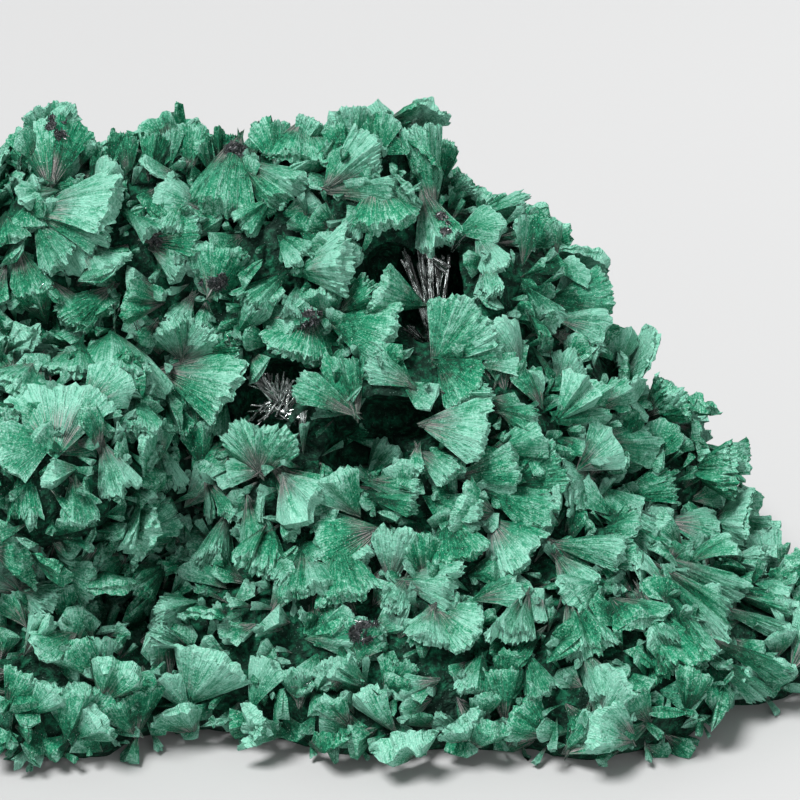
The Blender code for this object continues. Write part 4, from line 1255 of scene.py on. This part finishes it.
# %% The sprays
NEEDLE_SIDES = 6
SPRAYS = {
    "upper_needles": ("upper", (
        # count, radius, root and its scatter, tip and its scatter
        (18, (0.07, 0.15), (-0.1, -1.6, -0.2), 0.3, (-1.2, 3.1, -0.3), (0.9, 0.6, 0.5)),
        (12, (0.14, 0.26), (0.1, -1.6, 0.0), 0.3, (-0.4, 3.4, -0.1), (0.6, 0.5, 0.4)),
        (12, (0.22, 0.36), (0.6, -1.6, 0.3), 0.4, (0.8, 2.8, 0.2), (0.6, 0.5, 0.3)),
        (80, (0.05, 0.12), (0.5, -3.9, -0.6), 0.2, (-1.3, -2.8, -1.0), (1.2, 1.1, 0.6)),
        (6, (0.10, 0.16), (-0.8, 3.6, -0.2), 0.15, (1.3, 2.2, -0.2), (0.2, 0.3, 0.2)),
    )),
    "left_needles": ("left", (
        (34, (0.06, 0.14), (0.3, 0.3, -0.2), 0.5, (-0.6, 1.8, -0.6), (1.4, 0.6, 0.5)),
        (24, (0.08, 0.16), (0.6, -0.6, -0.2), 0.5, (1.6, 0.2, -0.5), (0.6, 1.6, 0.5)),
        (18, (0.07, 0.14), (0.0, 0.0, -0.2), 0.5, (-1.0, -0.8, -0.6), (0.8, 0.9, 0.5)),
        (5, (0.16, 0.24), (2.0, -2.4, -0.6), 0.2, (2.1, -0.3, -0.8), (0.2, 0.3, 0.2)),
    )),
}


def needle(rng, root, tip, radius):
    """The corners of a slanted six-sided prism and the U and V of each."""
    line = tip - root
    upright = line.to_track_quat("Z", "Y").to_matrix()
    flat = rng.uniform(0.45, 1.0)
    roll = rng.uniform(0, math.pi)
    slant = rng.uniform(-1.2, 1.2, 2)
    points, uv = [], []
    for share, size in ((0.0, 0.8), (1.0, rng.uniform(0.5, 0.95))):
        for corner in range(NEEDLE_SIDES):
            angle = 2 * math.pi * corner / NEEDLE_SIDES
            x, y = radius * size * math.cos(angle), radius * size * flat * math.sin(angle)
            along = share * line.length + share * (slant[0] * x + slant[1] * y)
            turned_xy = Matrix.Rotation(roll, 3, "Z") @ Vector((x, y, 0))
            points.append(root + upright @ (turned_xy + Vector((0, 0, along))))
            uv.append((corner / NEEDLE_SIDES, share * line.length))
    return points, uv


def needles_mesh(name, rng, needles):
    points, faces, uv, tones = [], [], [], []
    for root, tip, radius in needles:
        start = len(points)
        corners, corner_uv = needle(rng, root, tip, radius)
        points += corners
        tones += [rng.uniform()] * len(corners)
        low = [start + corner for corner in range(NEEDLE_SIDES)]
        high = [start + NEEDLE_SIDES + corner for corner in range(NEEDLE_SIDES)]
        sides = [(low[c], low[(c + 1) % NEEDLE_SIDES], high[(c + 1) % NEEDLE_SIDES], high[c])
                 for c in range(NEEDLE_SIDES)]
        faces += [tuple(reversed(low)), tuple(high)] + sides
        uv += corner_uv
    mesh = bpy.data.meshes.new(name)
    mesh.from_pydata((fit_in_box(np.array(points)) * MM).tolist(), [], faces)
    layer = mesh.uv_layers.new(name="UVMap")
    for loop, data in zip(mesh.loops, layer.data):
        data.uv = uv[loop.vertex_index]
    mesh.attributes.new("tone", "FLOAT", "POINT").data.foreach_set("value", tones)
    return mesh


def spray(rng, place, count, radius, root, root_scatter, tip, tip_scatter):
    """Needles from near one point to near another."""
    found = []
    for _ in range(count):
        start = Vector(root) + Vector(rng.uniform(-1, 1, 3) * root_scatter)
        end = Vector(tip) + Vector(rng.uniform(-1, 1, 3) * np.array(tip_scatter))
        found.append((place @ start, place @ end, rng.uniform(*radius)))
    return found


def frame_at(pixel, lift):
    """Axes across, up and inwards at a place in front of the mass."""
    axes = Matrix((ACROSS, UPWARD, INWARD)).transposed().to_4x4()
    return Matrix.Translation(spot_under(pixel, surface) - sight_of(pixel) * lift) @ axes


LOOSE_NEEDLES = (
    # place, lift, count, radius, tip and its scatter
    ((30, 304), 0.8, 7, (0.04, 0.09), (0.7, 0.9, -0.7), (0.8, 0.5, 0.5)),
    ((18, 172), 0.5, 5, (0.04, 0.08), (0.1, 0.9, -0.5), (0.5, 0.4, 0.4)),
    ((112, 326), 0.7, 6, (0.04, 0.09), (0.2, 1.7, -0.6), (0.5, 0.5, 0.4)),
    ((138, 330), 0.7, 6, (0.04, 0.09), (-0.6, 1.5, -0.6), (0.6, 0.5, 0.4)),
    ((234, 352), 0.9, 4, (0.06, 0.10), (-0.5, 0.9, -0.6), (0.2, 0.3, 0.3)),
    ((452, 250), 0.9, 8, (0.03, 0.06), (0.3, 0.7, -0.6), (0.9, 0.5, 0.4)),
    ((431, 557), 0.8, 5, (0.03, 0.06), (0.3, 0.5, -0.7), (0.6, 0.4, 0.3)),
    ((300, 690), 0.8, 6, (0.03, 0.07), (0.2, 0.6, -0.7), (0.8, 0.4, 0.4)),
)

rng = np.random.default_rng(SEED + 3)
for name, (hollow, rows) in SPRAYS.items():
    place = hollow_frame(hollow)
    needles = [one for row in rows for one in spray(rng, place, *row)]
    crust = dress(add_object(name, needles_mesh(name, rng, needles)), GLASSY_GREEN)
    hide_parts(f"{hollow}_hollow_needles")
    print(name, "has", len(needles), "needles")

needles = []
for pixel, lift, count, radius, tip, tip_scatter in LOOSE_NEEDLES:
    needles += spray(rng, frame_at(pixel, lift), count, radius, (0, 0, 0.5), 0.15, tip, tip_scatter)
dress(add_object("loose_needles", needles_mesh("loose_needles", rng, needles)), GLASSY_GREEN)
print(len(needles), "loose needles")

# %% [markdown]
# ## Floor, light and camera
# The specimen lies on a plain pale floor under a pale sky. One broad lamp above and to the left gives the fans
# their shape, and two weaker ones keep the shadows green. The camera looks from the front view's eye, so that the
# same measures that placed the sheaves place it too.

# %% Floor and light
FLOOR_SIZE = 3.0
SKY = (0.39, 0.396, 0.40, 1)
SUN_FROM = (-0.32, -0.38, 0.87)
SUN_STRENGTH = 4.55
SUN_ANGLE = 20
LAMPS = {
    "front": ((60, -200, 90), 130, 0.085),
    "behind": ((140, 150, 160), 160, 0.08),
}

floor = bmesh.new()
bmesh.ops.create_grid(floor, x_segments=1, y_segments=1, size=FLOOR_SIZE / 2 / MM)
floor = add_object("floor", mesh_of("floor", floor))
graph = Graph("pale_floor")
floor.data.materials.append(graph.finish(Base_Color=(0.45, 0.45, 0.45, 1), Roughness=0.9))

world = bpy.data.worlds.new("pale_sky")
world.use_nodes = True
world.node_tree.nodes["Background"].inputs["Color"].default_value = SKY
bpy.context.scene.world = world


def add_lamp(name, kind, place, toward, **settings):
    lamp = bpy.data.lights.new(name, kind)
    for key, value in settings.items():
        setattr(lamp, key, value)
    thing = bpy.data.objects.new(name, lamp)
    bpy.context.scene.collection.objects.link(thing)
    thing.location = Vector(place) * MM
    thing.rotation_euler = Vector(toward).to_track_quat("-Z", "Y").to_euler()


add_lamp("sun", "SUN", (0, 0, 0), -Vector(SUN_FROM), energy=SUN_STRENGTH, angle=math.radians(SUN_ANGLE))
for name, (place, size, power) in LAMPS.items():
    add_lamp(name, "AREA", place, VIEW_TARGET - Vector(place), shape="DISK", size=size * MM, energy=power)
print("lamps: sun,", ", ".join(LAMPS))

# %% Camera
FRAME_PX = 800
SENSOR = 36

camera = bpy.data.cameras.new("front_view")
camera.sensor_width = SENSOR
camera.lens = SENSOR * VIEW_DISTANCE / (FRAME_PX * VIEW_MM_PER_PX)
camera.clip_start = 0.01
thing = bpy.data.objects.new("front_view", camera)
bpy.context.scene.collection.objects.link(thing)
thing.location = EYE * MM
thing.rotation_euler = INWARD.to_track_quat("-Z", "Y").to_euler()
bpy.context.scene.camera = thing
bpy.context.scene.view_settings.view_transform = "Standard"
print("lens:", round(camera.lens, 1), "mm")
